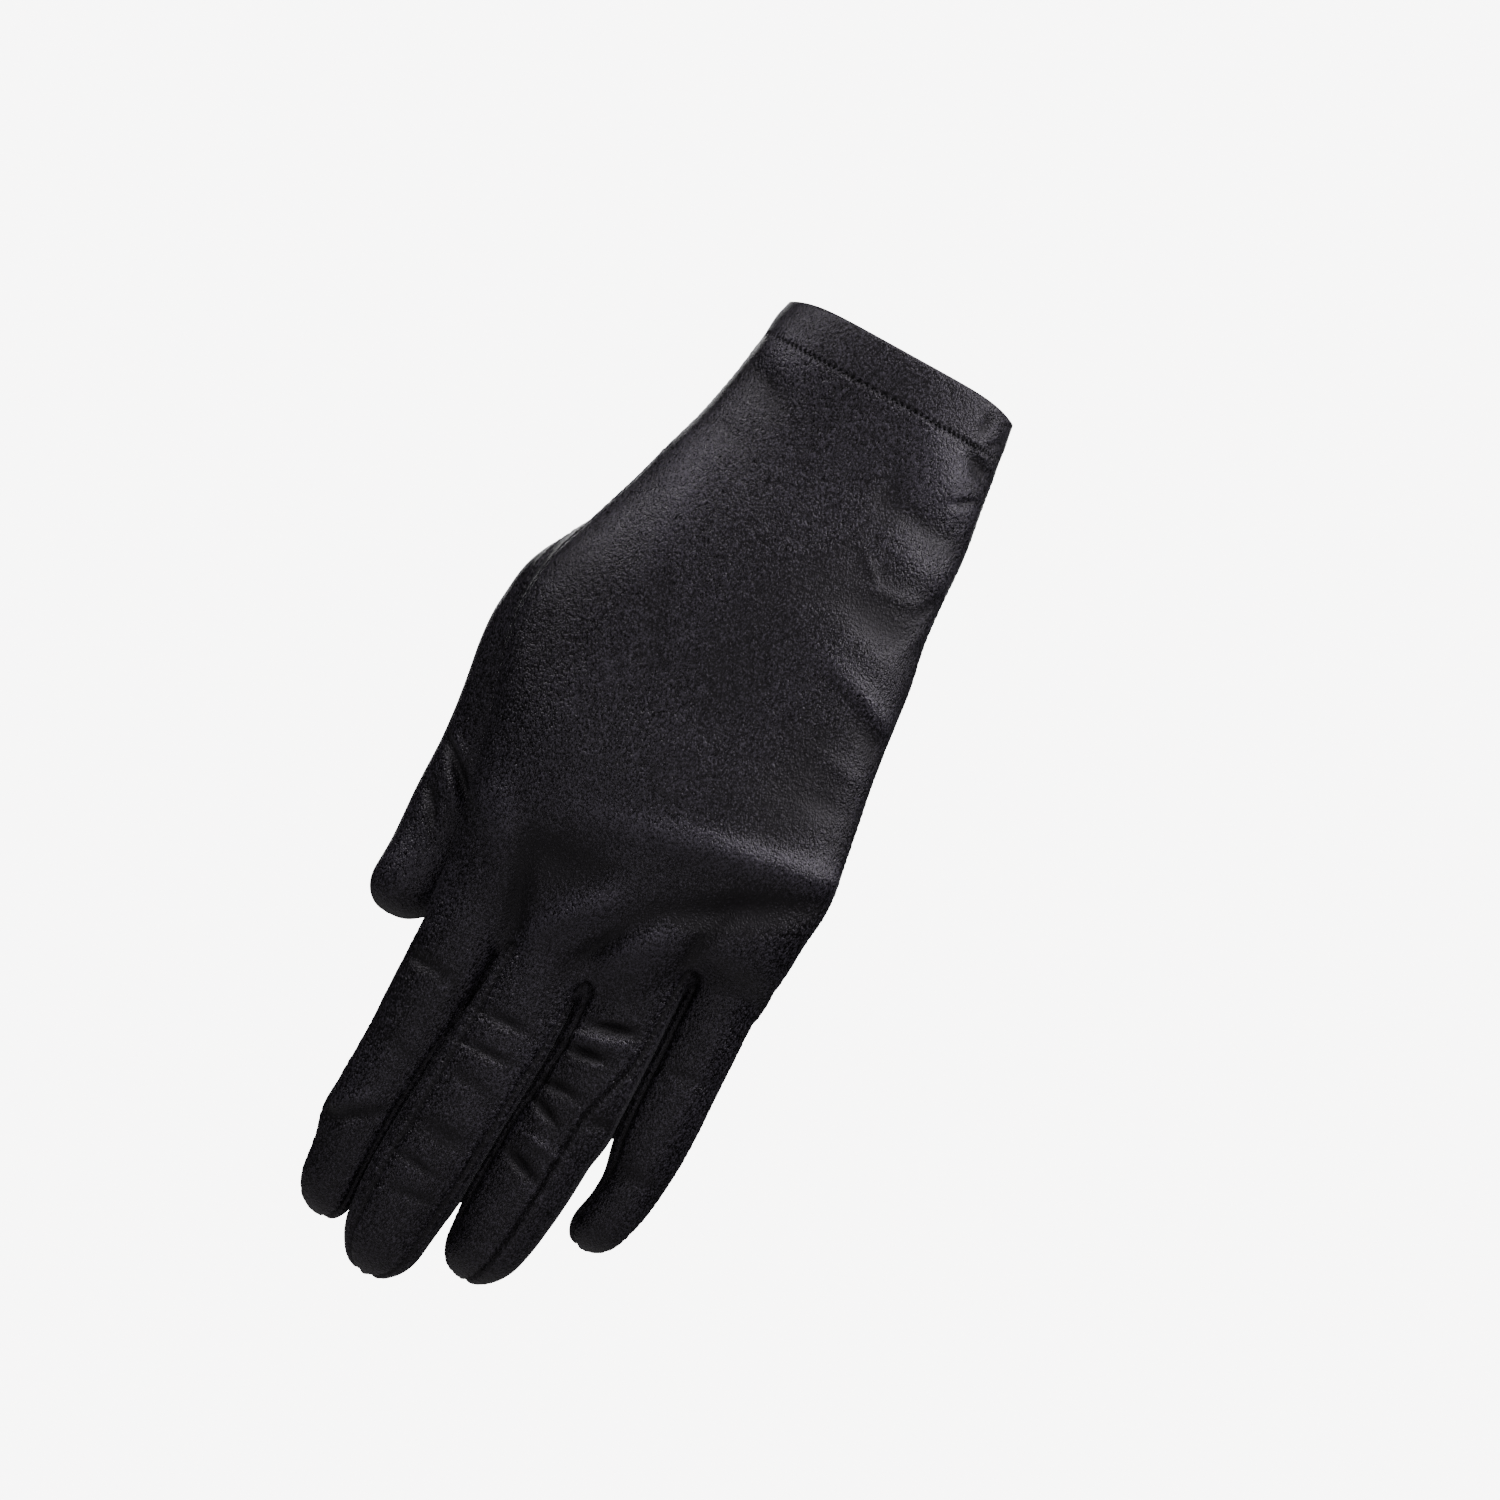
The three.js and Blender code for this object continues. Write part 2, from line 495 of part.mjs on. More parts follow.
/** The gap between two neighbouring fingers. */
class FingerGap {
  constructor(first, second) {
    this.first = first;
    this.second = second;
    this.crotch = Math.min(crotchDrop(first), crotchDrop(second));
    this.end = Math.max(crotchDrop(first) + first.length, crotchDrop(second) + second.length) + BEYOND;
    this.overlap = first.name === "index" ? OVERLAP : 0;
  }

  /** Slit of air between the fingers, widened on each side by a wall. */
  slit(wall) {
    return cutterThrough(drops(this.crotch + WEB - wall, this.end, FINGER_STEP), (drop) => {
      const a = fingerSection(this.first, drop);
      const b = fingerSection(this.second, drop);
      const x = (a.x + a.halfWidth + b.x - b.halfWidth) / 2 - this.overlap;
      const half = FINGER_GAP / 2 + wall;
      return {
        left: x - half,
        right: x + half,
        y: (a.y + b.y) / 2,
      };
    });
  }

  /** Room of the fourchette, from its round top between the fingers to their tips. */
  fourchetteRoom(growth) {
    const top = this.crotch - growth;
    const radius = WEB + growth;
    const levels = [top, top + 0.12 * radius, top + 0.45 * radius, ...drops(top + radius, this.end, FINGER_STEP)];
    return cutterThrough(levels, (drop) => {
      const a = fingerSection(this.first, drop);
      const b = fingerSection(this.second, drop);
      const left = a.x + seamReach(this.first, "far", drop) * a.halfWidth;
      const right = b.x - seamReach(this.second, "near", drop) * b.halfWidth;
      const share = Math.max(Math.sqrt(1 - (1 - Math.min((drop - top) / radius, 1)) ** 2), 0.1);
      const middle = (left + right) / 2;
      const half = ((right - left) / 2 + growth) * share;
      const past = (drop - crotchDrop(this.first)) / this.first.length;
      const twist = this.first.twist * THREE.MathUtils.smoothstep(past, 0.05, 0.4);
      return {
        left: middle - half,
        right: middle + half,
        y: (a.y + b.y) / 2,
        twist,
      };
    });
  }
}

const gaps = FINGERS.slice(1).map((finger, i) => new FingerGap(FINGERS[i], finger));

/** Everything inside the glove's surface, inset by a wall, from a drop downwards. */
function handForm(from, inset) {
  let form = palmLoft(from, HAND_END, inset);
  for (const finger of FINGERS) form = form.add(fingerLoft(finger, inset));
  form = form.add(thumbLoft(inset));
  for (const gap of gaps) form = form.subtract(gap.slit(inset));
  return form;
}

/** Line between the back and the palm at a drop, from the thumb's side through the fingers' middles. */
function seamLine(drop) {
  const along = drop / PALM_LENGTH;
  const palm = palmSection(drop);
  const points = FINGERS.map((finger) => {
    const section = fingerSection(finger, drop);
    const start = crotchDrop(finger);
    const share = THREE.MathUtils.smoothstep(drop, start - 2 * BEYOND, start);
    return new THREE.Vector3(section.x, THREE.MathUtils.lerp(palm.y, section.y, share), -drop);
  });
  const { smoothstep } = THREE.MathUtils;
  points[0].y -= THUMB_CLEARANCE * smoothstep(along, 0.18, 0.32) * (1 - smoothstep(along, 0.74, 0.9));
  const edge = (point, side) => point.clone().setX(side * PALM_WIDTH);
  return [edge(points[0], -1), ...points, edge(points[points.length - 1], 1)];
}

/** Everything on one side of the side seams: the back of the hand for -1, the palm for 1. */
function handSide(facing) {
  const end = PALM_LENGTH + MIDDLE_LENGTH + BEYOND;
  const rings = drops(HEM_HEIGHT - BEYOND, end, PALM_STEP).map((drop) => {
    const seam = seamLine(drop).map((p) => p.setY(p.y + (facing * SEAM_GAP) / 2));
    const outer = seam.map((p) => p.clone().setY(facing * CUTTER_HALF_DEPTH));
    return facing > 0 ? [...seam, ...outer.reverse()] : [...outer, ...seam.reverse()];
  });
  return loft(rings);
}

/** Geometry of a manifold-3d solid. */
function geometryOf(solid) {
  const mesh = solid.getMesh();
  const geometry = new THREE.BufferGeometry();
  geometry.setAttribute("position", new THREE.BufferAttribute(new Float32Array(mesh.vertProperties), 3));
  geometry.setIndex(new THREE.BufferAttribute(new Uint32Array(mesh.triVerts), 1));
  return geometry.toNonIndexed();
}

/** The largest of a solid's loose bodies: crumbs that a cut leaves at a seam are dropped. */
function mainBody(solid) {
  return solid.decompose().sort((a, b) => b.volume() - a.volume())[0].simplify(FINEST);
}

const panelTop = HEM_HEIGHT + SEAM_GAP;
const shell = handForm(panelTop, 0).subtract(handForm(-BEYOND, WALL));

const fourchettes = gaps.map((gap) => mainBody(shell.intersect(gap.fourchetteRoom(0))));
let handPanel = shell.subtract(thumbLoft(-THUMB_SEAM_REACH - SEAM_GAP));
for (const gap of gaps) handPanel = handPanel.subtract(gap.fourchetteRoom(SEAM_GAP));
const backPanel = mainBody(handPanel.intersect(handSide(-1)));
const palmPanel = mainBody(handPanel.intersect(handSide(1)));
const thumb = mainBody(shell.intersect(thumbLoft(-THUMB_SEAM_REACH)));

const hemOutside = palmLoft(0, HEM_HEIGHT, 0).add(palmLoft(0, HEM_HEIGHT + HEM_TURNING, WALL + SEAM_GAP));
const hem = mainBody(hemOutside.subtract(palmLoft(-BEYOND, HEM_HEIGHT + BEYOND, 2 * WALL + SEAM_GAP)));

const glove = new THREE.Group();
function addPiece(name, solid, material) {
  const mesh = new THREE.Mesh(geometryOf(solid), material);
  mesh.name = name;
  glove.add(mesh);
}

addPiece("back_panel", backPanel, PANEL_SATIN);
addPiece("palm_panel", palmPanel, PANEL_SATIN);
addPiece("thumb_piece", thumb, PANEL_SATIN);
gaps.forEach((gap, i) => {
  addPiece(`fourchette_${gap.first.name}_${gap.second.name}`, fourchettes[i], FOURCHETTE_SATIN);
});
addPiece("wrist_hem", hem, HEM_SATIN);

export default glove;
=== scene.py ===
"""Looks of a black satin dress glove of wrist length, built round its CAD frame.

The cloth is one implicit form, a hand, four fingers and a thumb that flow into each other. It is turned into
a mesh, cut along its seams into the pieces that a glover cuts, gathered at the seams, folded and hemmed.
Lengths are millimetres until a mesh is made. A drop is a distance below the rim of the wrist opening, X runs
from the thumb's side to the little finger's side, and Y from the back of the hand to the palm.
"""

import logging
import math
from dataclasses import dataclass, field
from enum import Enum
from typing import Callable, Sequence

import bpy
import numpy as np
from mathutils import Matrix, Vector
from mathutils.kdtree import KDTree


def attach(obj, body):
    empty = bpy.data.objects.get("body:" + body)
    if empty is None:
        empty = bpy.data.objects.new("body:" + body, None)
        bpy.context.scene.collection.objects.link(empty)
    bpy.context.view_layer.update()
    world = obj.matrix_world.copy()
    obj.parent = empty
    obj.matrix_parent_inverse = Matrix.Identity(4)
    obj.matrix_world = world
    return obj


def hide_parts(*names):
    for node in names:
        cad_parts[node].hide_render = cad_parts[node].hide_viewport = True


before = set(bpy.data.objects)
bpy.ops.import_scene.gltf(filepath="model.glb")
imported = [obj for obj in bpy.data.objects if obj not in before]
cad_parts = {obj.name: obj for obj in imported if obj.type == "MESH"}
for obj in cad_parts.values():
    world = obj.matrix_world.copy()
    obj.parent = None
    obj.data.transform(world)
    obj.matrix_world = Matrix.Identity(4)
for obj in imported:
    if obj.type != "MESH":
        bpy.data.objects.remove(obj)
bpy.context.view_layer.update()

log = logging.getLogger("glove")
Array = np.ndarray
Scalar = Callable[[Array], Array]

MM = 0.001
BODY = "root"

# The hand and its pieces, with the values of the CAD source.
PALM_LENGTH = 149.5
WRIST_WIDTH = 54.0
PALM_WIDTH = 84.5
WRIST_DEPTH = 37.0
PALM_DEPTH = 31.0
KNUCKLE_DEPTH = 25.0
LITTLE_RISE = 13.0
RIM_DIP = 2.4
THUMB_LENGTH = 105.4
THUMB_DROP = 52.5
THUMB_WIDTH = 21.0
THUMB_DEPTH = 21.0
THUMB_SEAM_REACH = 0.9
WEB = 2.2
PALM_SQUARENESS = 2.4
FINGER_SQUARENESS = 2.25

# The cloth.
GRID = 1.0
CLOTH = 0.45
SLIT = 0.08
SLIT_LEAN = 0.12
PRESS = 1.6
SPREAD = 2.8
HEM_LINE = 11.0
HEM_ROUND = 150.0
HEM_STITCHES = 124
SEED = 7


def smooth(value: Array, low: float, high: float) -> Array:
    """Smooth step from 0 at low to 1 at high."""
    t = np.clip((value - low) / (high - low), 0.0, 1.0)
    return t * t * (3.0 - 2.0 * t)


def bell(distance: Array) -> Array:
    """Height of a bell curve at a distance, in reaches."""
    return np.exp(-distance * distance)


def soft_min(a: Array, b: Array, blend: float) -> Array:
    """Smaller of two fields, rounded where they are closer than blend."""
    h = np.clip(0.5 + 0.5 * (b - a) / blend, 0.0, 1.0)
    return b * (1.0 - h) + a * h - blend * h * (1.0 - h)


def soft_max(a: Array, b: Array, blend: float) -> Array:
    """Larger of two fields, rounded where they are closer than blend."""
    return -soft_min(-a, -b, blend)


class Noise:
    """Smooth repeatable noise between -1 and 1 on a lattice of random values."""

    SIZE = 24

    def __init__(self, seed: int) -> None:
        """Fills the lattice.

        Args:
            seed: Number that the values are drawn from.
        """
        self.values = np.random.default_rng(seed).uniform(-1.0, 1.0, (self.SIZE,) * 3)

    def at(self, points: Array, scale: Sequence[float]) -> Array:
        """Value at each point.

        Args:
            points: Places in millimetres, one row each.
            scale: Millimetres from one lattice value to the next, along X, Y and Z.

        Returns:
            One value for each row.
        """
        q = points / np.asarray(scale) + 100.0
        low = np.floor(q).astype(int)
        t = q - low
        t = t * t * (3.0 - 2.0 * t)
        total = np.zeros(len(points))
        for corner in np.ndindex(2, 2, 2):
            at = (low + corner) % self.SIZE
            weight = np.prod(np.where(np.array(corner) == 1, t, 1.0 - t), axis=1)
            total += weight * self.values[at[:, 0], at[:, 1], at[:, 2]]
        return total


@dataclass(frozen=True)
class Row:
    """One row of a table of sections.

    along is the share of the length, side and lift shift the middle sideways and towards the palm, and wide
    and deep scale the section.
    """

    along: float
    side: float
    wide: float
    deep: float
    lift: float = 0.0


def column(rows: Sequence[Row], name: str, along: Array) -> Array:
    """One column of a table, read on a smooth curve through its rows.

    Args:
        rows: The table.
        name: Name of the column.
        along: Where to read it.

    Returns:
        The column's value at each place.
    """
    x = np.array([row.along for row in rows])
    y = np.array([getattr(row, name) for row in rows])
    slope = np.gradient(y, x)
    slope[1:-1] = (y[2:] - y[:-2]) / (x[2:] - x[:-2])
    at = np.clip(along, x[0], x[-1])
    i = np.clip(np.searchsorted(x, at, side="right") - 1, 0, len(x) - 2)
    span = x[i + 1] - x[i]
    t = (at - x[i]) / span
    rise = y[i + 1] - y[i]
    a = slope[i] * span - rise
    b = rise - slope[i + 1] * span
    return y[i] + t * rise + t * (1.0 - t) * (a * (1.0 - t) + b * t)


@dataclass
class Sections:
    """Middle and half sizes of a tube's sections, at even drops."""

    drop: Array
    x: Array
    y: Array
    half_wide: Array
    half_deep: Array
    squareness: float

    def at(self, drop: Array) -> tuple[Array, Array, Array, Array]:
        """Middle and half sizes at given drops."""
        values = (self.x, self.y, self.half_wide, self.half_deep)
        return tuple(np.interp(drop, self.drop, value) for value in values)

    def signed(self, points: Array, drop: Array, swell: tuple[Array, Array] | None = None) -> Array:
        """Distance of points from the tube's wall along the ray from its middle, below 0 inside.

        Args:
            points: Places, one row each.
            drop: Drop that each point is read at.
            swell: How much wider the tube is on its left and on its right.

        Returns:
            One distance for each row.
        """
        x, y, wide, deep = self.at(drop)
        dx = points[:, 0] - x
        if swell is not None:
            wide = wide + np.where(dx < 0.0, swell[0], swell[1])
        dy = points[:, 1] - y
        n = self.squareness
        ratio = (np.abs(dx / wide) ** n + np.abs(dy / deep) ** n) ** (1.0 / n)
        reach = np.hypot(dx, dy)
        wall = np.where(ratio > 0.05, reach / np.maximum(ratio, 0.05), np.minimum(wide, deep))
        return reach - wall


def rounded(drop: Array, end: float, tip: float, power: float) -> Array:
    """Share of its size that a tube keeps where it closes at its tip.

    Args:
        drop: Drops along the tube.
        end: Drop of its tip.
        tip: Length over which it closes.
        power: How squarely it closes.

    Returns:
        One share for each drop.
    """
    cap = np.clip((drop - (end - tip)) / tip, 0.0, 1.0)
    return np.maximum(1.0 - cap**power, 1e-4) ** (1.0 / power)


PALM_ROWS = (
    Row(0.0, 0.0, 0.0, 1.0, 0.0),
    Row(0.035, -0.002, 0.05, 1.0, 0.0),
    Row(0.084, 0.0, 0.1, 0.99, 0.002),
    Row(0.15, 0.0, 0.2, 0.97, 0.004),
    Row(0.217, -0.003, 0.31, 0.96, 0.002),
    Row(0.284, -0.016, 0.43, 0.98, -0.002),
    Row(0.351, -0.027, 0.55, 1.02, -0.006),
    Row(0.418, -0.036, 0.72, 1.04, -0.012),
    Row(0.485, -0.05, 0.885, 1.04, -0.02),
    Row(0.552, -0.05, 0.97, 1.03, -0.026),
    Row(0.619, -0.033, 1.0, 1.0, -0.034),
    Row(0.686, -0.008, 0.977, 0.99, -0.042),
    Row(0.74, 0.014, 0.93, 1.0, -0.044),
    Row(0.8, 0.024, 0.84, 1.0, -0.036),
    Row(0.87, 0.033, 0.73, 0.98, -0.016),
    Row(0.935, 0.043, 0.625, 0.84, 0.008),
    Row(0.98, 0.048, 0.575, 0.68, 0.026),
    Row(1.005, 0.048, 0.55, 0.54, 0.034),
    Row(1.03, 0.048, 0.53, 0.3, 0.036),
)


class Hand:
    """The hand without its fingers, from the wrist to just past their crotches."""

    END = PALM_LENGTH + WEB
    END_BLEND = 1.0
    MARGIN = 12.0
    STEP = 0.25
    WRIST_THINS = (0.3, 0.62)
    PALM_THINS = (0.62, 0.88)
    END_RISE = 1.15
    RISE_ACROSS = (0.16, 0.32)
    RISE_ALONG = (0.84, 1.03)

    def __init__(self) -> None:
        """Works out the sections."""
        drop = np.arange(-self.MARGIN, PALM_LENGTH + self.MARGIN, self.STEP)
        along = drop / PALM_LENGTH
        depth = WRIST_DEPTH
        depth = depth + (PALM_DEPTH - WRIST_DEPTH) * smooth(along, *self.WRIST_THINS)
        depth = depth + (KNUCKLE_DEPTH - PALM_DEPTH) * smooth(along, *self.PALM_THINS)
        width = WRIST_WIDTH + (PALM_WIDTH - WRIST_WIDTH) * column(PALM_ROWS, "wide", along)
        self.sections = Sections(
            drop,
            column(PALM_ROWS, "side", along) * PALM_WIDTH,
            column(PALM_ROWS, "lift", along) * PALM_WIDTH,
            width / 2.0,
            depth * column(PALM_ROWS, "deep", along) / 2.0,
            PALM_SQUARENESS,
        )

    def own_drop(self, points: Array) -> Array:
        """Drop at which a point is read: the little finger's side ends higher than the other side.

        Args:
            points: Places, one row each.

        Returns:
            One drop for each row.
        """
        drop = -points[:, 2]
        to_little = smooth(points[:, 0] / PALM_WIDTH, *self.RISE_ACROSS)
        own = drop
        for _ in range(3):
            risen = smooth(own / PALM_LENGTH, *self.RISE_ALONG)
            own = drop + self.END_RISE * LITTLE_RISE * to_little * risen
        return own

    def ring(self, turns: Array, drop: float) -> Array:
        """Points round the hand.

        Args:
            turns: Shares of a whole turn.
            drop: Drop of the ring.

        Returns:
            One point for each share.
        """
        angle = 2.0 * math.pi * np.asarray(turns)
        x, y, wide, deep = (float(v) for v in self.sections.at(np.array(drop)))
        power = 2.0 / PALM_SQUARENESS
        across, through = np.cos(angle), np.sin(angle)
        return np.stack(
            [
                x + wide * np.sign(across) * np.abs(across) ** power,
                y + deep * np.sign(through) * np.abs(through) ** power,
                np.full(len(angle), -drop),
            ],
            axis=1,
        )

    def ring_normals(self, turns: Array, drop: float) -> Array:
        """Outward directions of the points of a ring.

        Args:
            turns: Shares of a whole turn.
            drop: Drop of the ring.

        Returns:
            One direction for each share.
        """
        step = 1e-3
        along = self.ring(turns + step, drop) - self.ring(turns - step, drop)
        down = self.ring(turns, drop + 0.3) - self.ring(turns, drop - 0.3)
        normals = np.cross(down, along)
        return normals / np.linalg.norm(normals, axis=1)[:, None]

    def signed(self, points: Array) -> Array:
        """Distance field of the hand."""
        own = self.own_drop(points)
        return soft_max(self.sections.signed(points, own), own - self.END, self.END_BLEND)


@dataclass
class Finger:
    """One finger, from its root inside the hand to its tip.

    near and far give the reach of its seams on the thumb's side and on the other side, at the crotch and
    further down, in shares of the half width. twist leans the far seam over to the back of the hand.
    """

    STEP = 0.2
    TIP_POWER = 2.3
    ROOT_LIFT = 0.035
    ROOT_SLOPE = 0.08
    CURL_SHARES = (0.55, 0.45)
    SEAM_SETTLES = 0.45

    name: str
    length: float
    width: float
    depth: float
    curl: float
    place: float
    rise: float
    set_back: float
    near: tuple[float, float]
    far: tuple[float, float]
    twist: float
    tip: float
    rows: tuple[Row, ...]
    sections: Sections = field(init=False)

    def __post_init__(self) -> None:
        """Works out the sections."""
        drop = np.arange(self.start, self.end + 0.01, self.STEP)
        along = (drop - self.crotch) / self.length
        bend = np.maximum(along, 0.0)
        even, growing = self.CURL_SHARES
        slope = np.minimum(along, 0.0) * self.length * self.ROOT_SLOPE
        root = self.ROOT_LIFT * PALM_WIDTH + self.set_back + slope
        taper = rounded(drop, self.end, self.tip, self.TIP_POWER)
        self.sections = Sections(
            drop,
            self.place * PALM_WIDTH + column(self.rows, "side", along) * self.width,
            root + self.curl * (even * bend + growing * bend * bend),
            self.width * column(self.rows, "wide", along) * taper / 2.0,
            self.depth * column(self.rows, "deep", along) * taper / 2.0,
            FINGER_SQUARENESS,
        )

    @property
    def crotch(self) -> float:
        """Drop of the crotch that the finger starts from."""
        return PALM_LENGTH - self.rise * LITTLE_RISE

    @property
    def start(self) -> float:
        """Drop of the finger's root, inside the hand."""
        return self.crotch + self.rows[0].along * self.length

    @property
    def end(self) -> float:
        """Drop of the tip."""
        return self.crotch + self.length

    def signed(self, points: Array, swell: tuple[Array, Array]) -> Array:
        """Distance field of the finger.

        Args:
            points: Places, one row each.
            swell: How much wider the finger is on its left and on its right.

        Returns:
            One value for each row.
        """
        drop = -points[:, 2]
        side = self.sections.signed(points, drop, swell)
        return np.maximum(np.maximum(side, drop - self.end), self.start - drop)

    def reach(self, side: tuple[float, float], drop: Array) -> Array:
        """Reach of one of its seams at a drop."""
        along = (drop - self.crotch) / self.length
        return side[0] + (side[1] - side[0]) * smooth(along, 0.0, self.SEAM_SETTLES)


FINGERS = (
    Finger(
        "index", 71.4, 18.1, 18.0, 14.0, -0.267, 0.0, 1.6, (1.0, 1.0), (1.02, 0.74), 0.0, 8.0,
        (
            Row(-0.42, -0.14, 0.7, 0.8),
            Row(-0.2, -0.07, 0.97, 1.06),
            Row(0.0, 0.0, 1.01, 1.04),
            Row(0.11, 0.0, 0.99, 1.0),
            Row(0.26, 0.005, 0.97, 0.97),
            Row(0.47, 0.0, 0.91, 0.93),
            Row(0.61, -0.03, 0.88, 0.9),
            Row(0.7, -0.04, 0.88, 0.88),
            Row(0.79, 0.0, 0.79, 0.82),
            Row(0.89, 0.03, 0.74, 0.74),
            Row(1.0, 0.08, 0.68, 0.66),
        ),
    ),
    Finger(
        "middle", 77.3, 20.0, 19.0, 12.0, -0.053, 0.0, 0.0, (0.78, 0.78), (0.94, 0.76), 0.0, 10.0,
        (
            Row(-0.42, 0.0, 0.7, 0.85),
            Row(-0.2, 0.0, 0.9, 1.1),
            Row(0.04, 0.0, 0.94, 1.0),
            Row(0.3, 0.0, 1.0, 0.97),
            Row(0.56, -0.04, 1.01, 0.94),
            Row(0.69, -0.065, 0.99, 0.9),
            Row(0.785, -0.075, 0.95, 0.86),
            Row(0.876, -0.08, 0.89, 0.78),
            Row(1.0, -0.09, 0.8, 0.68),
        ),
    ),
    Finger(
        "ring", 68.5, 19.6, 18.0, 12.0, 0.184, 0.0, 0.8, (0.88, 0.93), (0.76, 0.82), 0.6, 9.0,
        (
            Row(-0.42, -0.02, 0.7, 0.85),
            Row(-0.2, 0.0, 0.92, 1.1),
            Row(0.04, 0.0, 0.98, 1.02),
            Row(0.19, 0.03, 0.97, 0.98),
            Row(0.34, 0.01, 0.99, 0.97),
            Row(0.49, -0.03, 1.01, 0.95),
            Row(0.64, -0.05, 1.0, 0.92),
            Row(0.785, -0.07, 0.94, 0.87),
            Row(0.86, -0.09, 0.88, 0.81),
            Row(1.0, -0.15, 0.74, 0.68),
        ),
    ),
    Finger(
        "little", 63.6, 15.4, 15.5, 12.0, 0.382, 1.0, 1.5, (0.85, 0.84), (1.0, 1.0), 0.0, 7.0,
        (
            Row(-0.42, 0.0, 0.7, 0.85),
            Row(-0.2, 0.01, 1.0, 1.12),
            Row(0.1, 0.02, 1.02, 1.0),
            Row(0.26, 0.05, 1.0, 0.98),
            Row(0.42, 0.08, 1.01, 0.96),
            Row(0.58, 0.11, 0.97, 0.93),
            Row(0.7, 0.14, 0.86, 0.87),
            Row(0.81, 0.11, 0.8, 0.82),
            Row(0.9, 0.03, 0.78, 0.76),
            Row(1.0, -0.04, 0.72, 0.7),
        ),
    ),
)

THUMB_ROWS = (
    Row(0.0, -0.2, 0.7, 0.7, 0.04),
    Row(0.1, -0.325, 1.14, 0.95, 0.07),
    Row(0.22, -0.41, 1.33, 1.14, 0.12),
    Row(0.33, -0.436, 1.29, 1.17, 0.165),
    Row(0.42, -0.44, 1.22, 1.14, 0.2),
    Row(0.52, -0.434, 1.13, 1.08, 0.235),
    Row(0.63, -0.43, 1.05, 1.0, 0.262),
    Row(0.75, -0.43, 1.01, 0.96, 0.28),
    Row(0.86, -0.434, 0.92, 0.9, 0.29),
    Row(0.94, -0.45, 0.82, 0.84, 0.293),
    Row(1.0, -0.466, 0.7, 0.76, 0.293),
)


class Thumb:
    """The thumb, from its root inside the hand to its tip."""

    TIP = 8.5
    TIP_POWER = 2.4

    def __init__(self) -> None:
        """Works out the sections."""
        end = THUMB_DROP + THUMB_LENGTH
        drop = np.arange(THUMB_DROP, end + 0.01, Finger.STEP)
        along = (drop - THUMB_DROP) / THUMB_LENGTH
        taper = rounded(drop, end, self.TIP, self.TIP_POWER)
        self.end = end
        self.sections = Sections(
            drop,
            column(THUMB_ROWS, "side", along) * PALM_WIDTH,
            column(THUMB_ROWS, "lift", along) * PALM_WIDTH,
            THUMB_WIDTH * column(THUMB_ROWS, "wide", along) * taper / 2.0,
            THUMB_DEPTH * column(THUMB_ROWS, "deep", along) * taper / 2.0,
            FINGER_SQUARENESS,
        )

    def signed(self, points: Array) -> Array:
        """Distance field of the thumb.

        Args:
            points: Places, one row each.

        Returns:
            One value for each row.
        """
        drop = -points[:, 2]
        side = self.sections.signed(points, drop)
        return np.maximum(np.maximum(side, drop - self.end), THUMB_DROP - drop)


@dataclass
class Gap:
    """The gap between two neighbouring fingers, with the fourchette that lines it."""

    LEAN_REACH = 12.0
    MOST_LAPPED = 0.6
    MEETS = 8.0
    PARTS = 14.0
    PARTED = 4.0
    SPREADS = (14.0, 2.0)
    LEAN_SETTLES = (0.05, 0.4)
    LEAST_HALF = 0.1

    first: Finger
    second: Finger
    overlap: float
    opens: float

    @property
    def name(self) -> str:
        """Name of the fourchette."""
        return f"fourchette_{self.first.name}_{self.second.name}"

    @property
    def crotch(self) -> float:
        """Drop of the crotch."""
        return min(self.first.crotch, self.second.crotch)

    def middle(self, points: Array) -> Array:
        """X of the slit between the fingers: it leans, so that the second finger lies over the first.

        Args:
            points: Places, one row each.

        Returns:
            One value for each row.
        """
        drop = -points[:, 2]
        first_x, first_y, first_wide, _ = self.first.sections.at(drop)
        second_x, second_y, second_wide, _ = self.second.sections.at(drop)
        edge = (first_x + first_wide + second_x - second_wide) / 2.0 - self.overlap
        off = np.clip(points[:, 1] - (first_y + second_y) / 2.0, -self.LEAN_REACH, self.LEAN_REACH)
        return edge + SLIT_LEAN * off

    def swell(self, drop: Array) -> Array:
        """How much each of the two fingers widens where they press against each other.

        Args:
            drop: Drops to read it at.

        Returns:
            One width for each drop.
        """
        first_x, _, first_wide, _ = self.first.sections.at(drop)
        second_x, _, second_wide, _ = self.second.sections.at(drop)
        apart = np.maximum(second_x - second_wide - first_x - first_wide, -self.MOST_LAPPED)
        met = smooth(drop, self.crotch - self.MEETS, self.crotch)
        parted = smooth(drop, self.opens - self.PARTS, self.opens + self.PARTED)
        return (apart / 2.0 + PRESS) * (met * (1.0 - parted))

    def opening(self, drop: Array) -> Array:
        """How far the slit is spread while the cloth is meshed, as a share."""
        start, end = self.SPREADS
        return smooth(drop, self.crotch - start, self.crotch - end)

    def fourchette(self, points: Array) -> Array:
        """Field that is below 0 on the fourchette and 0 along its seams.

        Args:
            points: Places, one row each.

        Returns:
            One value for each row.
        """
        drop = -points[:, 2]
        first_x, first_y, first_wide, _ = self.first.sections.at(drop)
        second_x, _, second_wide, _ = self.second.sections.at(drop)
        past = (drop - self.first.crotch) / self.first.length
        settled = smooth(past, *self.LEAN_SETTLES)
        lean = self.first.twist * settled * np.minimum(points[:, 1] - first_y, 0.0)
        left = first_x + self.first.reach(self.first.far, drop) * first_wide + lean
        right = second_x - self.second.reach(self.second.near, drop) * second_wide
        half = np.maximum((right - left) / 2.0, self.LEAST_HALF)
        sideways = (points[:, 0] - (left + right) / 2.0) / half
        upwards = np.maximum(self.crotch + WEB - drop, 0.0) / WEB
        return (np.hypot(sideways, upwards) - 1.0) * half


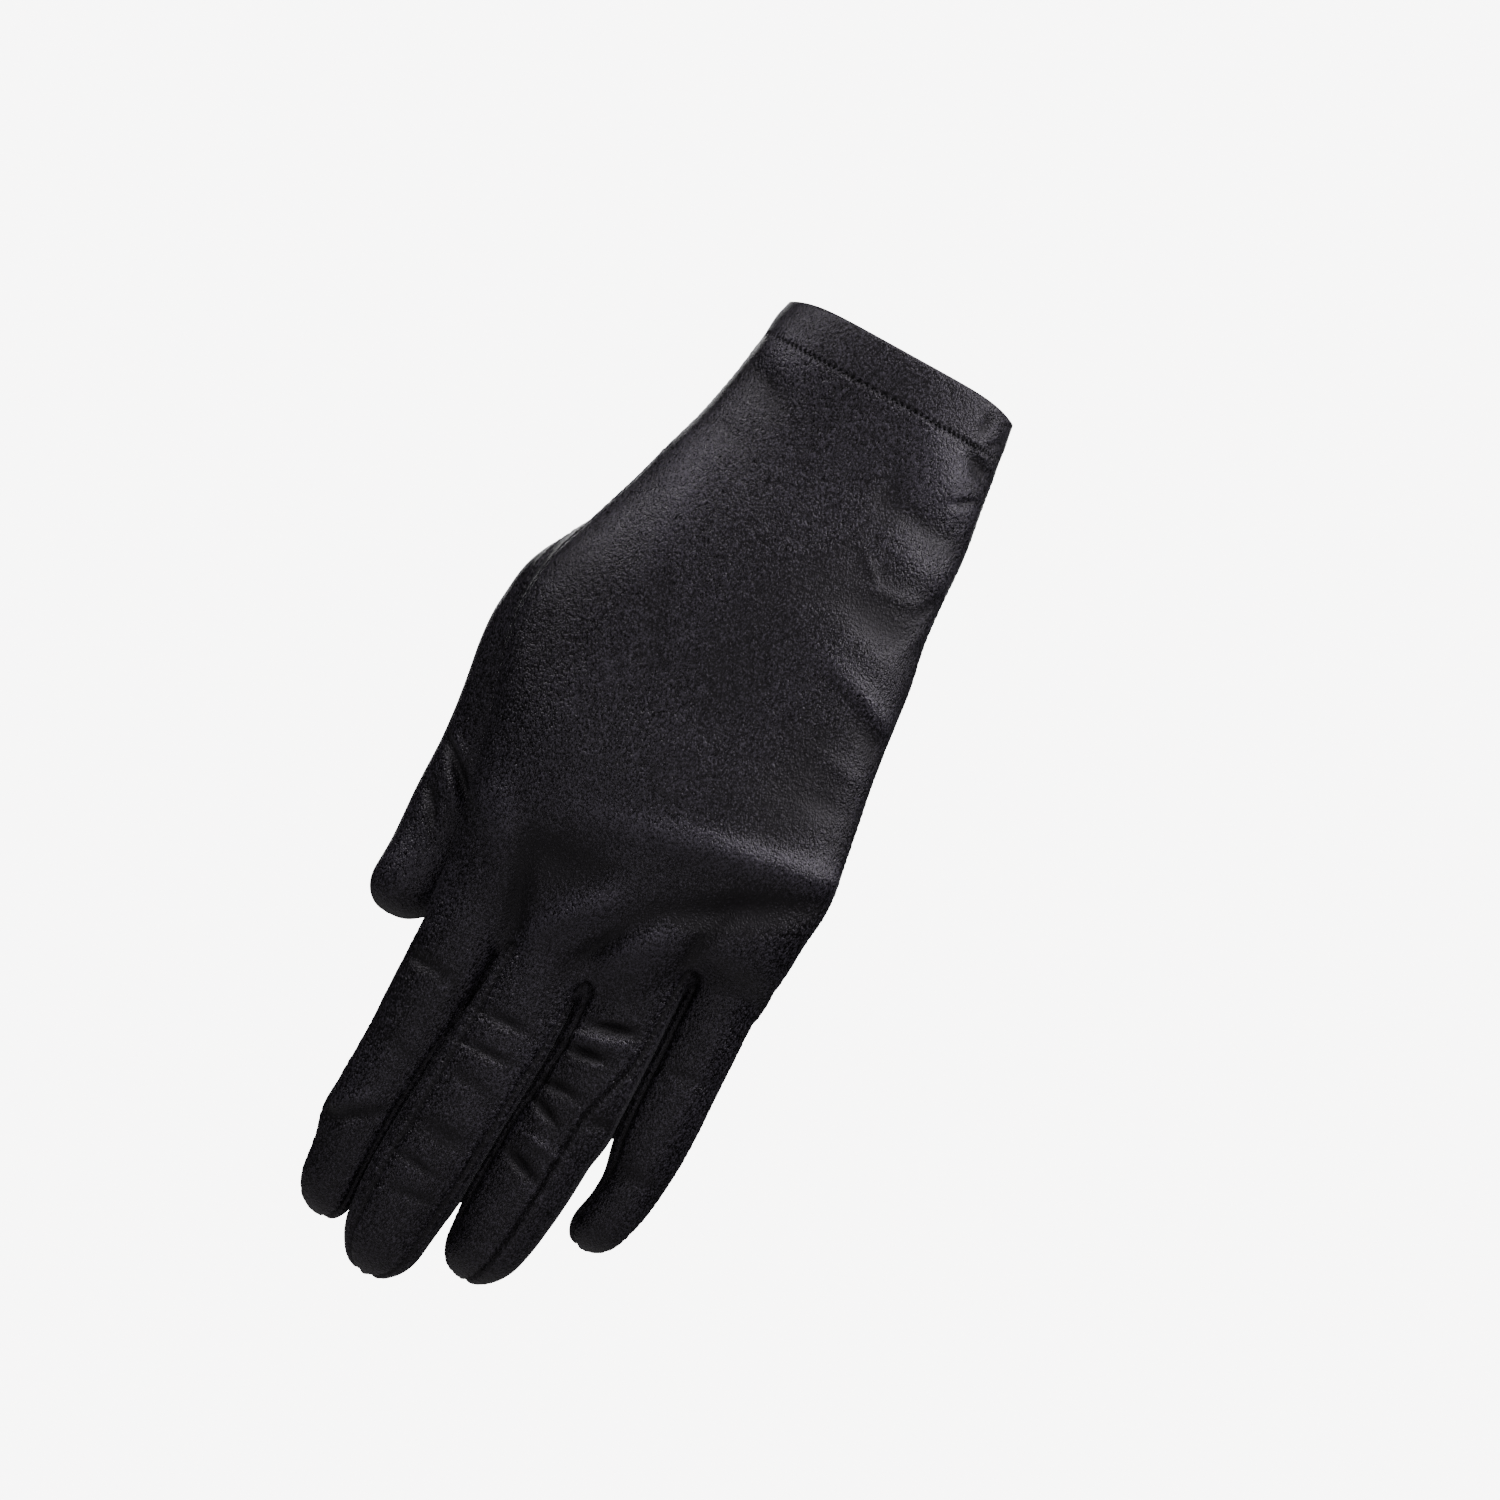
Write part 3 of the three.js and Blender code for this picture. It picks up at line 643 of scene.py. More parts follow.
class GloveForm:
    """The whole form that the cloth follows, as a field that is 0 on the outside of the cloth."""

    KNUCKLE_BLEND = 3.4
    THUMB_BLEND = 5.0
    FLATTENING = 1.0
    SLOPE_STEP = 0.06
    LEAST_STEEP = 0.05
    LONGEST_MOVE = 0.5
    MEETINGS = ((0.6, 219.0), (0.0, 207.0), (0.0, 181.0))

    def __init__(self) -> None:
        """Puts the hand, the fingers and the thumb together."""
        self.hand = Hand()
        self.thumb = Thumb()
        self.gaps = [Gap(a, b, *m) for a, b, m in zip(FINGERS[:-1], FINGERS[1:], self.MEETINGS)]

    def field(self, points: Array) -> Array:
        """Field of the whole glove.

        Args:
            points: Places, one row each.

        Returns:
            About the distance to the cloth, below 0 inside.
        """
        hand = self.hand.signed(points)
        whole = hand
        none = np.zeros(len(points))
        swells = [none, *(gap.swell(-points[:, 2]) for gap in self.gaps), none]
        for i, finger in enumerate(FINGERS):
            own = finger.signed(points, (swells[i], swells[i + 1]))
            if i > 0:
                past = self.gaps[i - 1].middle(points) + SLIT / 2 - points[:, 0]
                own = soft_max(own, past, self.FLATTENING)
            if i < len(self.gaps):
                past = points[:, 0] - self.gaps[i].middle(points) + SLIT / 2
                own = soft_max(own, past, self.FLATTENING)
            whole = np.minimum(whole, soft_min(hand, own, self.KNUCKLE_BLEND))
        return soft_min(whole, self.thumb.signed(points), self.THUMB_BLEND)

    def closed(self, spread: Array) -> Array:
        """Brings points from the space in which the fingers are spread back to the glove's own space.

        Args:
            spread: Places, one row each.

        Returns:
            The places in the glove's own space.
        """
        points = spread.copy()
        drop = -points[:, 2]
        for gap in self.gaps:
            extra = SPREAD * gap.opening(drop)
            start = gap.middle(points) - SLIT / 2
            past = points[:, 0] - start
            inside = np.clip(past, 0.0, SLIT + extra) * SLIT / (SLIT + extra)
            outside = np.minimum(past, 0.0) + np.maximum(past - SLIT - extra, 0.0)
            points[:, 0] = start + inside + outside
        return points

    def gradient(self, points: Array) -> Array:
        """Slope of the field.

        Args:
            points: Places, one row each.

        Returns:
            One slope for each row.
        """
        slope = np.empty_like(points)
        for axis in range(3):
            shift = np.zeros(3)
            shift[axis] = self.SLOPE_STEP
            rise = self.field(points + shift) - self.field(points - shift)
            slope[:, axis] = rise / (2.0 * self.SLOPE_STEP)
        return slope

    def settled(self, points: Array, rounds: int = 4) -> Array:
        """Points moved onto the cloth.

        Args:
            points: Places, one row each.
            rounds: How many steps they take.

        Returns:
            The moved places.
        """
        for _ in range(rounds):
            slope = self.gradient(points)
            steep = np.maximum((slope * slope).sum(axis=1), self.LEAST_STEEP)
            move = np.clip(self.field(points) / steep, -self.LONGEST_MOVE, self.LONGEST_MOVE)
            points = points - slope * move[:, None]
        return points


@dataclass
class Cloth:
    """A triangle mesh of cloth."""

    points: Array
    faces: Array

    def edges(self) -> Array:
        """Two point numbers for each side of each face."""
        return np.stack([self.faces, np.roll(self.faces, -1, axis=1)], axis=2)

    def numbered(self, edges: Array, wanted: Array) -> tuple[Array, Array]:
        """Numbers for the new points on some of the edges.

        Args:
            edges: All edges, by face and side.
            wanted: One flag for each edge.

        Returns:
            The wanted edges, each once, and the new point's number for each edge, -1 where there is none.
        """
        unique, place = np.unique(np.sort(edges, axis=2)[wanted], axis=0, return_inverse=True)
        numbers = np.full(self.faces.shape, -1)
        numbers[wanted] = len(self.points) + place.reshape(-1)
        return unique, numbers

    def refined(self, marked: Array) -> "Cloth":
        """Cloth with a new point in the middle of each edge between two marked points.

        Args:
            marked: One flag for each point.

        Returns:
            The finer cloth.
        """
        edges = self.edges()
        wanted = marked[edges].all(axis=2)
        unique, numbers = self.numbered(edges, wanted)
        middles = self.points[unique].mean(axis=1)
        count = wanted.sum(axis=1)
        parts = [self.faces[count == 0]]
        for turn in range(3):
            a, b, c = (self.faces[:, (turn + k) % 3] for k in range(3))
            ab = numbers[:, turn]
            one = (count == 1) & (ab >= 0)
            parts += [np.stack([a, ab, c], 1)[one], np.stack([ab, b, c], 1)[one]]
        a, b, c = self.faces.T
        ab, bc, ca = numbers.T
        three = count == 3
        parts += [np.stack(t, 1)[three] for t in ((a, ab, ca), (ab, b, bc), (ca, bc, c), (ab, bc, ca))]
        return Cloth(np.concatenate([self.points, middles]), np.concatenate(parts))

    def split(self, values: Array, tolerance: float = 0.12) -> tuple["Cloth", "Cloth"]:
        """Cuts the cloth where a field on its points is 0.

        Args:
            values: One value for each point.
            tolerance: A point whose value is smaller than this counts as lying on the cut.

        Returns:
            The cloth where the field is below 0, and the rest.
        """
        side = np.where(np.abs(values) < tolerance, 0, np.sign(values)).astype(int)
        edges = self.edges()
        crossed = side[edges[..., 0]] * side[edges[..., 1]] < 0
        unique, numbers = self.numbered(edges, crossed)
        low, high = values[unique[:, 0]], values[unique[:, 1]]
        t = (low / (low - high))[:, None]
        cuts = self.points[unique[:, 0]] * (1.0 - t) + self.points[unique[:, 1]] * t
        count = crossed.sum(axis=1)
        sides = side[self.faces]
        total = sides.sum(axis=1)
        whole = count == 0
        inner, outer = [self.faces[whole & (total < 0)]], [self.faces[whole & (total >= 0)]]
        for turn in range(3):
            a, b, c = (self.faces[:, (turn + k) % 3] for k in range(3))
            ab, bc, ca = (numbers[:, (turn + k) % 3] for k in range(3))
            sign = side[a]
            single = (count == 1) & (bc >= 0)
            double = (count == 2) & (ab >= 0) & (ca >= 0)
            for here, there, at in ((inner, outer, -1), (outer, inner, 1)):
                pick = single & (side[b] == at)
                here.append(np.stack([a, b, bc], 1)[pick])
                there.append(np.stack([a, bc, c], 1)[pick])
                pick = double & (sign == at)
                here.append(np.stack([a, ab, ca], 1)[pick])
                there += [np.stack([ab, b, c], 1)[pick], np.stack([ab, c, ca], 1)[pick]]
        points = np.concatenate([self.points, cuts])
        return Cloth(points, np.concatenate(inner)).packed(), Cloth(points, np.concatenate(outer)).packed()

    def packed(self) -> "Cloth":
        """Cloth without the points that no face uses."""
        used, faces = np.unique(self.faces, return_inverse=True)
        return Cloth(self.points[used], faces.reshape(-1, 3))

    def border(self) -> Array:
        """Edges that have one face only, each in its face's direction.

        Returns:
            Two point numbers for each edge.
        """
        edges = np.concatenate([self.faces[:, [0, 1]], self.faces[:, [1, 2]], self.faces[:, [2, 0]]])
        keys = np.sort(edges, axis=1)
        _, place, count = np.unique(keys, axis=0, return_inverse=True, return_counts=True)
        return edges[count[place.reshape(-1)] == 1]


def surface_net(values: Array, corner: Array, step: float) -> Cloth:
    """Mesh of the surface where a field on an even grid is 0.

    Args:
        values: The field, by X, Y and Z.
        corner: Place of the grid's first value.
        step: Distance from one value to the next.

    Returns:
        A mesh with one point in each cell that the surface passes through.
    """
    inside = values < 0.0
    cells = tuple(n + 1 for n in values.shape)
    total = np.zeros(cells + (3,))
    count = np.zeros(cells)
    crossings = []
    for axis in range(3):
        low = tuple(slice(None, -1) if k == axis else slice(None) for k in range(3))
        high = tuple(slice(1, None) if k == axis else slice(None) for k in range(3))
        at = np.argwhere(inside[low] != inside[high])
        a, b = values[low][tuple(at.T)], values[high][tuple(at.T)]
        place = at.astype(float)
        place[:, axis] += a / (a - b)
        others = [k for k in range(3) if k != axis]
        for p in (0, 1):
            for q in (0, 1):
                cell = at.copy()
                cell[:, axis] += 1
                cell[:, others[0]] += p
                cell[:, others[1]] += q
                np.add.at(total, tuple(cell.T), place)
                np.add.at(count, tuple(cell.T), 1.0)
        crossings.append((at, axis, others))
    numbers = np.full(cells, -1)
    used = np.argwhere(count > 0)
    numbers[tuple(used.T)] = np.arange(len(used))
    points = total[tuple(used.T)] / count[tuple(used.T)][:, None] * step + corner
    quads = []
    for at, axis, others in crossings:
        inner = np.all((at[:, others] > 0) & (at[:, others] < np.array(values.shape)[others] - 1), axis=1)
        at = at[inner]
        ring = []
        for p, q in ((0, 0), (1, 0), (1, 1), (0, 1)):
            cell = at.copy()
            cell[:, axis] += 1
            cell[:, others[0]] += p
            cell[:, others[1]] += q
            ring.append(numbers[tuple(cell.T)])
        quad = np.stack(ring, axis=1)
        forwards = inside[tuple(at.T)] != (axis == 1)
        quads.append(np.where(forwards[:, None], quad, quad[:, ::-1]))
    quad = np.concatenate(quads)
    first = np.linalg.norm(points[quad[:, 0]] - points[quad[:, 2]], axis=1)
    second = np.linalg.norm(points[quad[:, 1]] - points[quad[:, 3]], axis=1)
    short = first <= second
    faces = [quad[short][:, [0, 1, 2]], quad[short][:, [0, 2, 3]]]
    faces += [quad[~short][:, [0, 1, 3]], quad[~short][:, [1, 2, 3]]]
    return Cloth(points, np.concatenate(faces))


@dataclass(frozen=True)
class Fold:
    """A fold or a dent in the cloth.

    x and drop place its middle, turn is its angle to the wrist line in degrees, long and wide are its reaches
    along and across itself, high is its height, below 0 for a dent, and face the side that it is on, -1 for
    the back of the hand and 1 for the palm.
    """

    x: float
    drop: float
    turn: float
    long: float
    wide: float
    high: float
    face: float = -1.0

    def reaches(self, points: Array) -> tuple[Array, Array]:
        """Places along and across the fold, in its reaches.

        Args:
            points: Places, one row each.

        Returns:
            Place along it and place across it, for each row.
        """
        turn = math.radians(self.turn)
        dx = points[:, 0] - self.x
        up = self.drop + points[:, 2]
        along = dx * math.cos(turn) + up * math.sin(turn)
        across = up * math.cos(turn) - dx * math.sin(turn)
        return along / self.long, across / self.wide


FOLDS = (
    # The wrist, gathered towards the little finger's side.
    Fold(21.9, 6.0, 90.0, 3.0, 1.16, -0.65),
    Fold(26.6, 7.8, 48.0, 3.0, 0.95, -0.54),
    Fold(24.8, 14.6, -28.0, 3.8, 1.68, -1.02),
    Fold(22.0, 20.0, -60.0, 5.0, 1.89, 0.36),
    Fold(26.0, 22.4, 34.0, 3.4, 0.95, -0.75),
    Fold(16.0, 17.5, -50.0, 9.0, 3.78, 0.36),
    Fold(10.4, 27.5, 100.0, 7.0, 2.52, -0.5),
    Fold(20.0, 31.0, -4.0, 9.0, 2.31, -0.43),
    Fold(24.0, 38.5, -4.0, 9.0, 3.78, 0.58),
    Fold(15.0, 43.8, -42.0, 4.5, 1.05, 0.29),
    Fold(23.0, 47.0, 10.0, 7.0, 1.47, 0.29),
    Fold(31.0, 45.0, 62.0, 3.6, 1.68, -0.58),
    Fold(23.0, 54.0, -8.0, 10.0, 3.78, -0.58),
    Fold(31.0, 53.0, 70.0, 5.0, 1.58, 0.36),
    Fold(27.0, 68.5, -18.0, 11.0, 2.42, 0.72),
    Fold(34.5, 76.5, -30.0, 6.0, 2.52, -0.65),
    Fold(30.5, 84.0, -8.0, 6.0, 1.99, 0.36),
    Fold(32.0, 92.0, 5.0, 6.0, 2.73, -0.36),
    Fold(21.0, 23.5, -8.0, 9.0, 4.2, 0.5),
    Fold(15.0, 17.0, -25.0, 9.0, 6.0, 0.45),
    Fold(22.0, 50.0, -10.0, 10.0, 6.0, -0.6),
    Fold(25.0, 92.0, 76.0, 15.0, 8.0, -0.7),
    Fold(12.0, 46.0, 60.0, 16.0, 8.0, -0.3),
    # The wrist on the thumb's side.
    Fold(-21.0, 15.0, 0.0, 8.0, 5.0, 0.6),
    Fold(-24.0, 12.0, 20.0, 6.0, 4.0, 0.35),
    Fold(-23.0, 21.0, -30.0, 7.0, 3.0, -0.45),
    Fold(-26.0, 33.5, -8.0, 6.0, 2.4, -0.35),
    Fold(-27.0, 52.0, 100.0, 15.0, 4.5, 0.6),
    Fold(-20.0, 74.0, -68.0, 13.0, 2.6, -0.4),
    # The knuckles.
    Fold(21.0, 110.2, 13.0, 25.0, 3.4, 1.62),
    Fold(26.0, 121.0, 32.0, 20.0, 3.6, -1.88),
    Fold(-12.0, 129.5, 10.0, 12.0, 5.0, -1.12),
    Fold(-3.8, 138.0, 55.0, 9.0, 2.6, 1.38),
    Fold(11.5, 137.5, 64.0, 9.0, 2.6, 1.12),
    Fold(-16.0, 141.0, -68.0, 10.0, 2.6, -1.5),
    Fold(4.0, 141.0, 61.0, 7.0, 1.9, -1.12),
    Fold(22.3, 130.0, 75.0, 8.0, 1.8, -1.0),
    Fold(-27.0, 128.0, -50.0, 9.0, 3.6, 0.9),
    Fold(-4.5, 139.0, 55.0, 10.0, 6.0, 0.5),
    Fold(12.0, 138.0, 62.0, 10.0, 5.0, 0.5),
    # The fingers.
    Fold(-26.5, 162.5, -3.0, 6.5, 1.68, -0.71),
    Fold(-24.2, 198.0, 34.0, 5.5, 1.34, -1.02),
    Fold(-26.5, 195.0, 30.0, 5.0, 1.68, 0.49),
    Fold(-29.8, 200.5, -40.0, 2.8, 1.23, -0.65),
    Fold(-24.0, 181.0, -8.0, 6.0, 2.02, -0.37),
    Fold(-5.8, 165.0, 3.0, 5.5, 1.46, -0.81),
    Fold(-5.6, 172.6, 2.0, 6.0, 1.23, -0.81),
    Fold(-5.5, 180.0, -6.0, 6.0, 1.79, -0.46),
    Fold(-5.2, 192.5, 3.0, 7.5, 2.46, -0.81),
    Fold(-7.6, 200.6, -6.0, 4.5, 1.12, -0.68),
    Fold(-5.0, 207.0, 5.0, 5.5, 1.12, -0.54),
    Fold(15.2, 155.4, 17.0, 4.6, 1.23, -1.57),
    Fold(13.0, 159.2, 14.0, 6.5, 1.23, 0.78),
    Fold(12.6, 162.8, 10.0, 4.2, 1.12, -1.48),
    Fold(10.4, 172.0, 2.0, 4.4, 1.23, -1.1),
    Fold(10.4, 177.6, -22.0, 4.0, 1.12, -1.1),
    Fold(13.4, 184.4, -6.0, 4.5, 1.12, 0.71),
    Fold(11.6, 190.2, -20.0, 4.6, 1.34, -1.41),
    Fold(22.6, 174.6, 12.0, 4.0, 1.79, -0.65),
    Fold(33.0, 157.0, 6.0, 6.0, 1.46, -0.43),
    Fold(33.4, 181.0, -6.0, 5.5, 2.13, -0.65),
    # The thumb.
    Fold(-40.8, 123.4, -43.0, 7.5, 1.3, -1.5),
    Fold(-42.6, 119.4, -40.0, 5.0, 1.3, 0.5),
    Fold(-42.0, 133.0, -56.0, 5.0, 1.2, -1.0),
    Fold(-39.0, 129.0, -45.0, 5.0, 1.4, 0.5),
    Fold(-40.0, 146.0, -6.0, 9.0, 7.0, 0.8),
    # The palm.
    Fold(1.7, 92.7, 90.0, 22.0, 18.6, -3.2, 1.0),
    Fold(25.3, 74.7, 90.0, 25.0, 13.5, 2.2, 1.0),
    Fold(4.0, 121.0, 14.0, 22.0, 2.2, -0.7, 1.0),
    Fold(-6.0, 108.0, -28.0, 17.0, 2.2, -0.7, 1.0),
    Fold(-10.0, 84.0, -66.0, 20.0, 2.4, -0.8, 1.0),
    Fold(14.0, 30.0, 24.0, 12.0, 2.4, -0.5, 1.0),
    Fold(-12.0, 42.0, -20.0, 12.0, 2.6, -0.5, 1.0),
    Fold(-24.0, 163.0, 0.0, 7.0, 2.0, -0.7, 1.0),
    Fold(-24.0, 186.0, 0.0, 7.0, 2.0, -0.7, 1.0),
    Fold(-5.0, 170.0, 0.0, 8.0, 2.0, -0.7, 1.0),
    Fold(-6.0, 195.0, 0.0, 8.0, 2.0, -0.7, 1.0),
    Fold(14.0, 166.0, 0.0, 8.0, 2.0, -0.7, 1.0),
    Fold(14.0, 189.0, 0.0, 8.0, 2.0, -0.7, 1.0),
    Fold(33.0, 153.0, 0.0, 6.0, 1.8, -0.6, 1.0),
    Fold(34.0, 172.0, 0.0, 6.0, 1.8, -0.6, 1.0),
)


class SeamLines:
    """All seams of the glove, to ask how far a point is from the nearest one."""

    def __init__(self) -> None:
        """Starts with no seams."""
        self.points: list[Array] = []
        self.lengths: list[Array] = []

    def add(self, cloth: Cloth, own: Callable[[Array], Array]) -> None:
        """Adds the borders of a cut piece.

        Args:
            cloth: The piece.
            own: Says which of its border points belong to the seam.
        """
        following = dict(cloth.border().tolist())
        while following:
            start, here = following.popitem()
            ring = [start]
            while here != start and here in following:
                ring.append(here)
                here = following.pop(here)
            points = cloth.points[ring]
            steps = np.linalg.norm(np.diff(points, axis=0), axis=1)
            lengths = np.concatenate([[0.0], np.cumsum(steps)])
            keep = own(points)
            self.points.append(points[keep])
            self.lengths.append(lengths[keep])

    def nearest(self, points: Array) -> tuple[Array, Array]:
        """The nearest seam.

        Args:
            points: Places, one row each.

        Returns:
            Distance to it, and how far along its seam the nearest place lies.
        """
        places = np.concatenate(self.points)
        lengths = np.concatenate(self.lengths)
        tree = KDTree(len(places))
        for i, place in enumerate(places):
            tree.insert(place, i)
        tree.balance()
        found = [tree.find(point)[1:] for point in points]
        number, distance = np.array(found).T
        return distance, lengths[number.astype(int)]


@dataclass
class Drape:
    """Moves the smooth cloth into folds, gathers it at the seams and gives it its slight unevenness."""

    groove_deep: float = 0.5
    groove_wide: float = 0.5
    gather_high: float = 0.07
    gather_wide: float = 1.9
    gather_sharp: float = 1.2
    gather_pitch: float = 1.9
    stitch_pitch: float = HEM_ROUND / HEM_STITCHES
    stitch_deep: float = 0.75
    stitch_wide: float = 0.48
    stitch_between: float = 0.03
    gather_start: float = 0.9
    gather_drift: float = 6.0
    shoulder_high: float = 0.12
    shoulder_away: float = 1.6
    shoulder_wide: float = 0.8
    hem_reach: tuple[float, float] = (1.5, 3.5)
    rim_calm: float = 0.3
    rim_calm_drop: float = 12.0
    fold_reach: float = 1.6
    fold_facing: float = 0.6
    back_until: float = 4.0
    thumb_side: float = -33.0
    swell: float = 0.28
    swell_size: tuple[float, float, float] = (13.0, 13.0, 19.0)
    narrow: float = 1.9
    ripple: float = 0.09
    ripple_size: tuple[float, float, float] = (5.0, 5.0, 7.5)

    def __post_init__(self) -> None:
        """Draws the noise."""
        self.noise = Noise(SEED)
        self.fine_noise = Noise(SEED + 1)

    def folds(self, points: Array, normals: Array) -> Array:
        """Height of the folds.

        Args:
            points: Places, one row each.
            normals: The cloth's outward directions there.

        Returns:
            One value for each row.
        """
        height = np.zeros(len(points))
        for fold in FOLDS:
            along, across = fold.reaches(points)
            share = smooth(normals[:, 1] * fold.face, 0.0, self.fold_facing)
            height += share * fold.high * bell(along) * bell(across)
        return height

    def beside_folds(self, points: Array) -> Array:
        """Distance to the nearest narrow fold on the back of the hand, 0 on a fold itself.

        Args:
            points: Places, one row each.

        Returns:
            One value for each row.
        """
        nearest = np.full(len(points), np.inf)
        for fold in FOLDS:
            if fold.face < 0.0 and fold.wide < self.narrow:
                away = (np.hypot(*fold.reaches(points)) - self.fold_reach) * fold.wide
                nearest = np.minimum(nearest, np.maximum(away, 0.0))
        seen = (points[:, 1] < self.back_until) | (points[:, 0] < self.thumb_side)
        return np.where(seen, nearest, np.inf)

    def height(
        self,
        points: Array,
        normals: Array,
        distance: Array,
        length: Array,
        calm: Array,
    ) -> Array:
        """How far the cloth moves out at each point.

        Args:
            points: Places on the smooth cloth.
            normals: The cloth's outward directions there.
            distance: Distance to the nearest seam.
            length: Place along that seam.
            calm: How much the cloth may wave there, from 0 to 1.

        Returns:
            One height for each point.
        """
        wave = self.noise.at(points, self.swell_size)
        fine = self.fine_noise.at(points, self.ripple_size)
        below_rim = smooth(-points[:, 2], 0.0, self.rim_calm_drop)
        calm = calm * (self.rim_calm + (1.0 - self.rim_calm) * below_rim)
        height = self.folds(points, normals) + (self.swell * wave + self.ripple * fine) * calm
        phase = 2.0 * math.pi * length / self.gather_pitch + self.gather_drift * fine
        gathered = bell((distance - self.gather_start) / self.gather_wide * self.gather_sharp)
        gather = self.gather_high * np.sin(phase) * gathered
        groove = self.groove_deep * bell(distance / self.groove_wide)
        shoulder = self.shoulder_high * bell((distance - self.shoulder_away) / self.shoulder_wide)
        seam = gather - groove + shoulder
        at_hem = 1.0 - smooth(np.abs(-points[:, 2] - HEM_LINE), *self.hem_reach)
        holes = 0.5 + 0.5 * np.cos(2.0 * math.pi * length / self.stitch_pitch)
        dots = self.stitch_between + (1.0 - self.stitch_between) * holes**2
        stitched = -self.stitch_deep * dots * bell(distance / self.stitch_wide)
        return height + seam + (stitched - seam) * at_hem


class SewnHand:
    """The panels, the thumb and the fourchettes, cut from one form along their seams."""

    REFINE = (1.5, 0.65)
    THUMB_CLEARANCE = 3.2
    CLEARS_THUMB = (0.18, 0.32)
    PAST_THUMB = (0.56, 0.76)
    LOW = (-56.0, -27.0, -229.0)
    HIGH = (57.0, 40.0, -6.0)
    BESIDE = 1.6
    CALMED = 0.75
    CALM_START = 6.0
    LEAST_CALM = 0.2
    LINE_TURNS = 8.0
    OWN_SEAM = 0.2
    HEM_POINTS = 1200

    def __init__(self) -> None:
        """Makes the form and the way that its cloth drapes."""
        self.form = GloveForm()
        self.drape = Drape()
        self.seams = SeamLines()

    def smooth_cloth(self) -> Cloth:
        """Mesh of the smooth form, from just above the hem's stitches to the fingertips.

        Returns:
            The cloth in one piece.
        """
        low, high = np.array(self.LOW), np.array(self.HIGH)
        counts = np.ceil((high - low) / GRID).astype(int) + 1
        axes = [low[k] + GRID * np.arange(counts[k]) for k in range(3)]
        values = np.empty(tuple(counts))
        for i, x in enumerate(axes[0]):
            y, z = np.meshgrid(axes[1], axes[2], indexing="ij")
            points = np.stack([np.full(y.size, x), y.ravel(), z.ravel()], axis=1)
            values[i] = self.form.field(self.form.closed(points)).reshape(y.shape)
        cloth = surface_net(values, low, GRID)
        cloth.points = self.form.settled(self.form.closed(cloth.points))
        return cloth

    def side_line(self, points: Array) -> Array:
        """Field that is below 0 on the back of the hand and above 0 on the palm.

        Args:
            points: Places, one row each.

        Returns:
            One value for each row.
        """
        drop = -points[:, 2]
        _, palm_y, _, _ = self.form.hand.sections.at(drop)
        xs, ys = [], []
        for finger in FINGERS:
            x, y, _, _ = finger.sections.at(drop)
            share = smooth(drop, finger.crotch - self.LINE_TURNS, finger.crotch)
            xs.append(x)
            ys.append(palm_y + (y - palm_y) * share)
        along = drop / PALM_LENGTH
        reached, passed = smooth(along, *self.CLEARS_THUMB), smooth(along, *self.PAST_THUMB)
        ys[0] = ys[0] - self.THUMB_CLEARANCE * reached * (1.0 - passed)
        line = ys[0]
        for i in range(3):
            t = np.clip((points[:, 0] - xs[i]) / np.maximum(xs[i + 1] - xs[i], 0.1), 0.0, 1.0)
            line = line + (ys[i + 1] - ys[i]) * t
        return points[:, 1] - line

    def thumb_line(self, points: Array) -> Array:
        """Field that is below 0 on the thumb's piece."""
        return self.form.thumb.signed(points) - THUMB_SEAM_REACH

    def cut(self) -> dict[str, Cloth]:
        """Cuts the smooth cloth along its seams.

        Returns:
            The smooth pieces by name.
        """
        cloth = self.smooth_cloth()
        log.info("smooth cloth: %d points", len(cloth.points))
        lines: list[Scalar] = [self.thumb_line, self.side_line, lambda points: points[:, 2] + HEM_LINE]
        lines += [gap.fourchette for gap in self.form.gaps]
        for reach in self.REFINE:
            nearest = np.min([np.abs(line(cloth.points)) for line in lines], axis=0)
            if reach == self.REFINE[0]:
                nearest = np.minimum(nearest, self.drape.beside_folds(cloth.points) + 1.0)
            cloth = cloth.refined(nearest < reach)
            cloth.points = self.form.settled(cloth.points, 2)
        pieces: dict[str, Cloth] = {}
        cloth, _ = cloth.split(HEM_LINE + cloth.points[:, 2])
        pieces["thumb_piece"], cloth = cloth.split(self.thumb_line(cloth.points))
        for gap in self.form.gaps:
            pieces[gap.name], cloth = cloth.split(gap.fourchette(cloth.points))
        pieces["back_panel"], pieces["palm_panel"] = cloth.split(self.side_line(cloth.points))
        return pieces

    def sew(self, pieces: dict[str, Cloth]) -> None:
        """Notes where the seams of the cut pieces run.

        Args:
            pieces: The cut pieces by name.
        """
        for name, cloth in pieces.items():
            if name == "palm_panel":
                continue
            if name != "back_panel":
                self.seams.add(cloth, lambda points: np.ones(len(points), dtype=bool))
                continue
            self.seams.add(cloth, lambda points: self.seams.nearest(points)[0] > self.OWN_SEAM)
        top = np.linspace(0.0, 1.0, self.HEM_POINTS)[:-1]
        ring = self.form.hand.ring(top, HEM_LINE)
        self.seams.points.append(ring)
        self.seams.lengths.append(top * HEM_ROUND)

    def calm(self, points: Array) -> Array:
        """How much the cloth may wave: little where two fingers lie side by side.

        Args:
            points: Places, one row each.

        Returns:
            One share for each row.
        """
        drop = -points[:, 2]
        share = np.ones(len(points))
        for gap in self.form.gaps:
            beside = bell((points[:, 0] - gap.middle(points)) / self.BESIDE)
            share -= self.CALMED * (beside * smooth(drop, gap.crotch - self.CALM_START, gap.crotch))
        return np.clip(share, self.LEAST_CALM, 1.0)

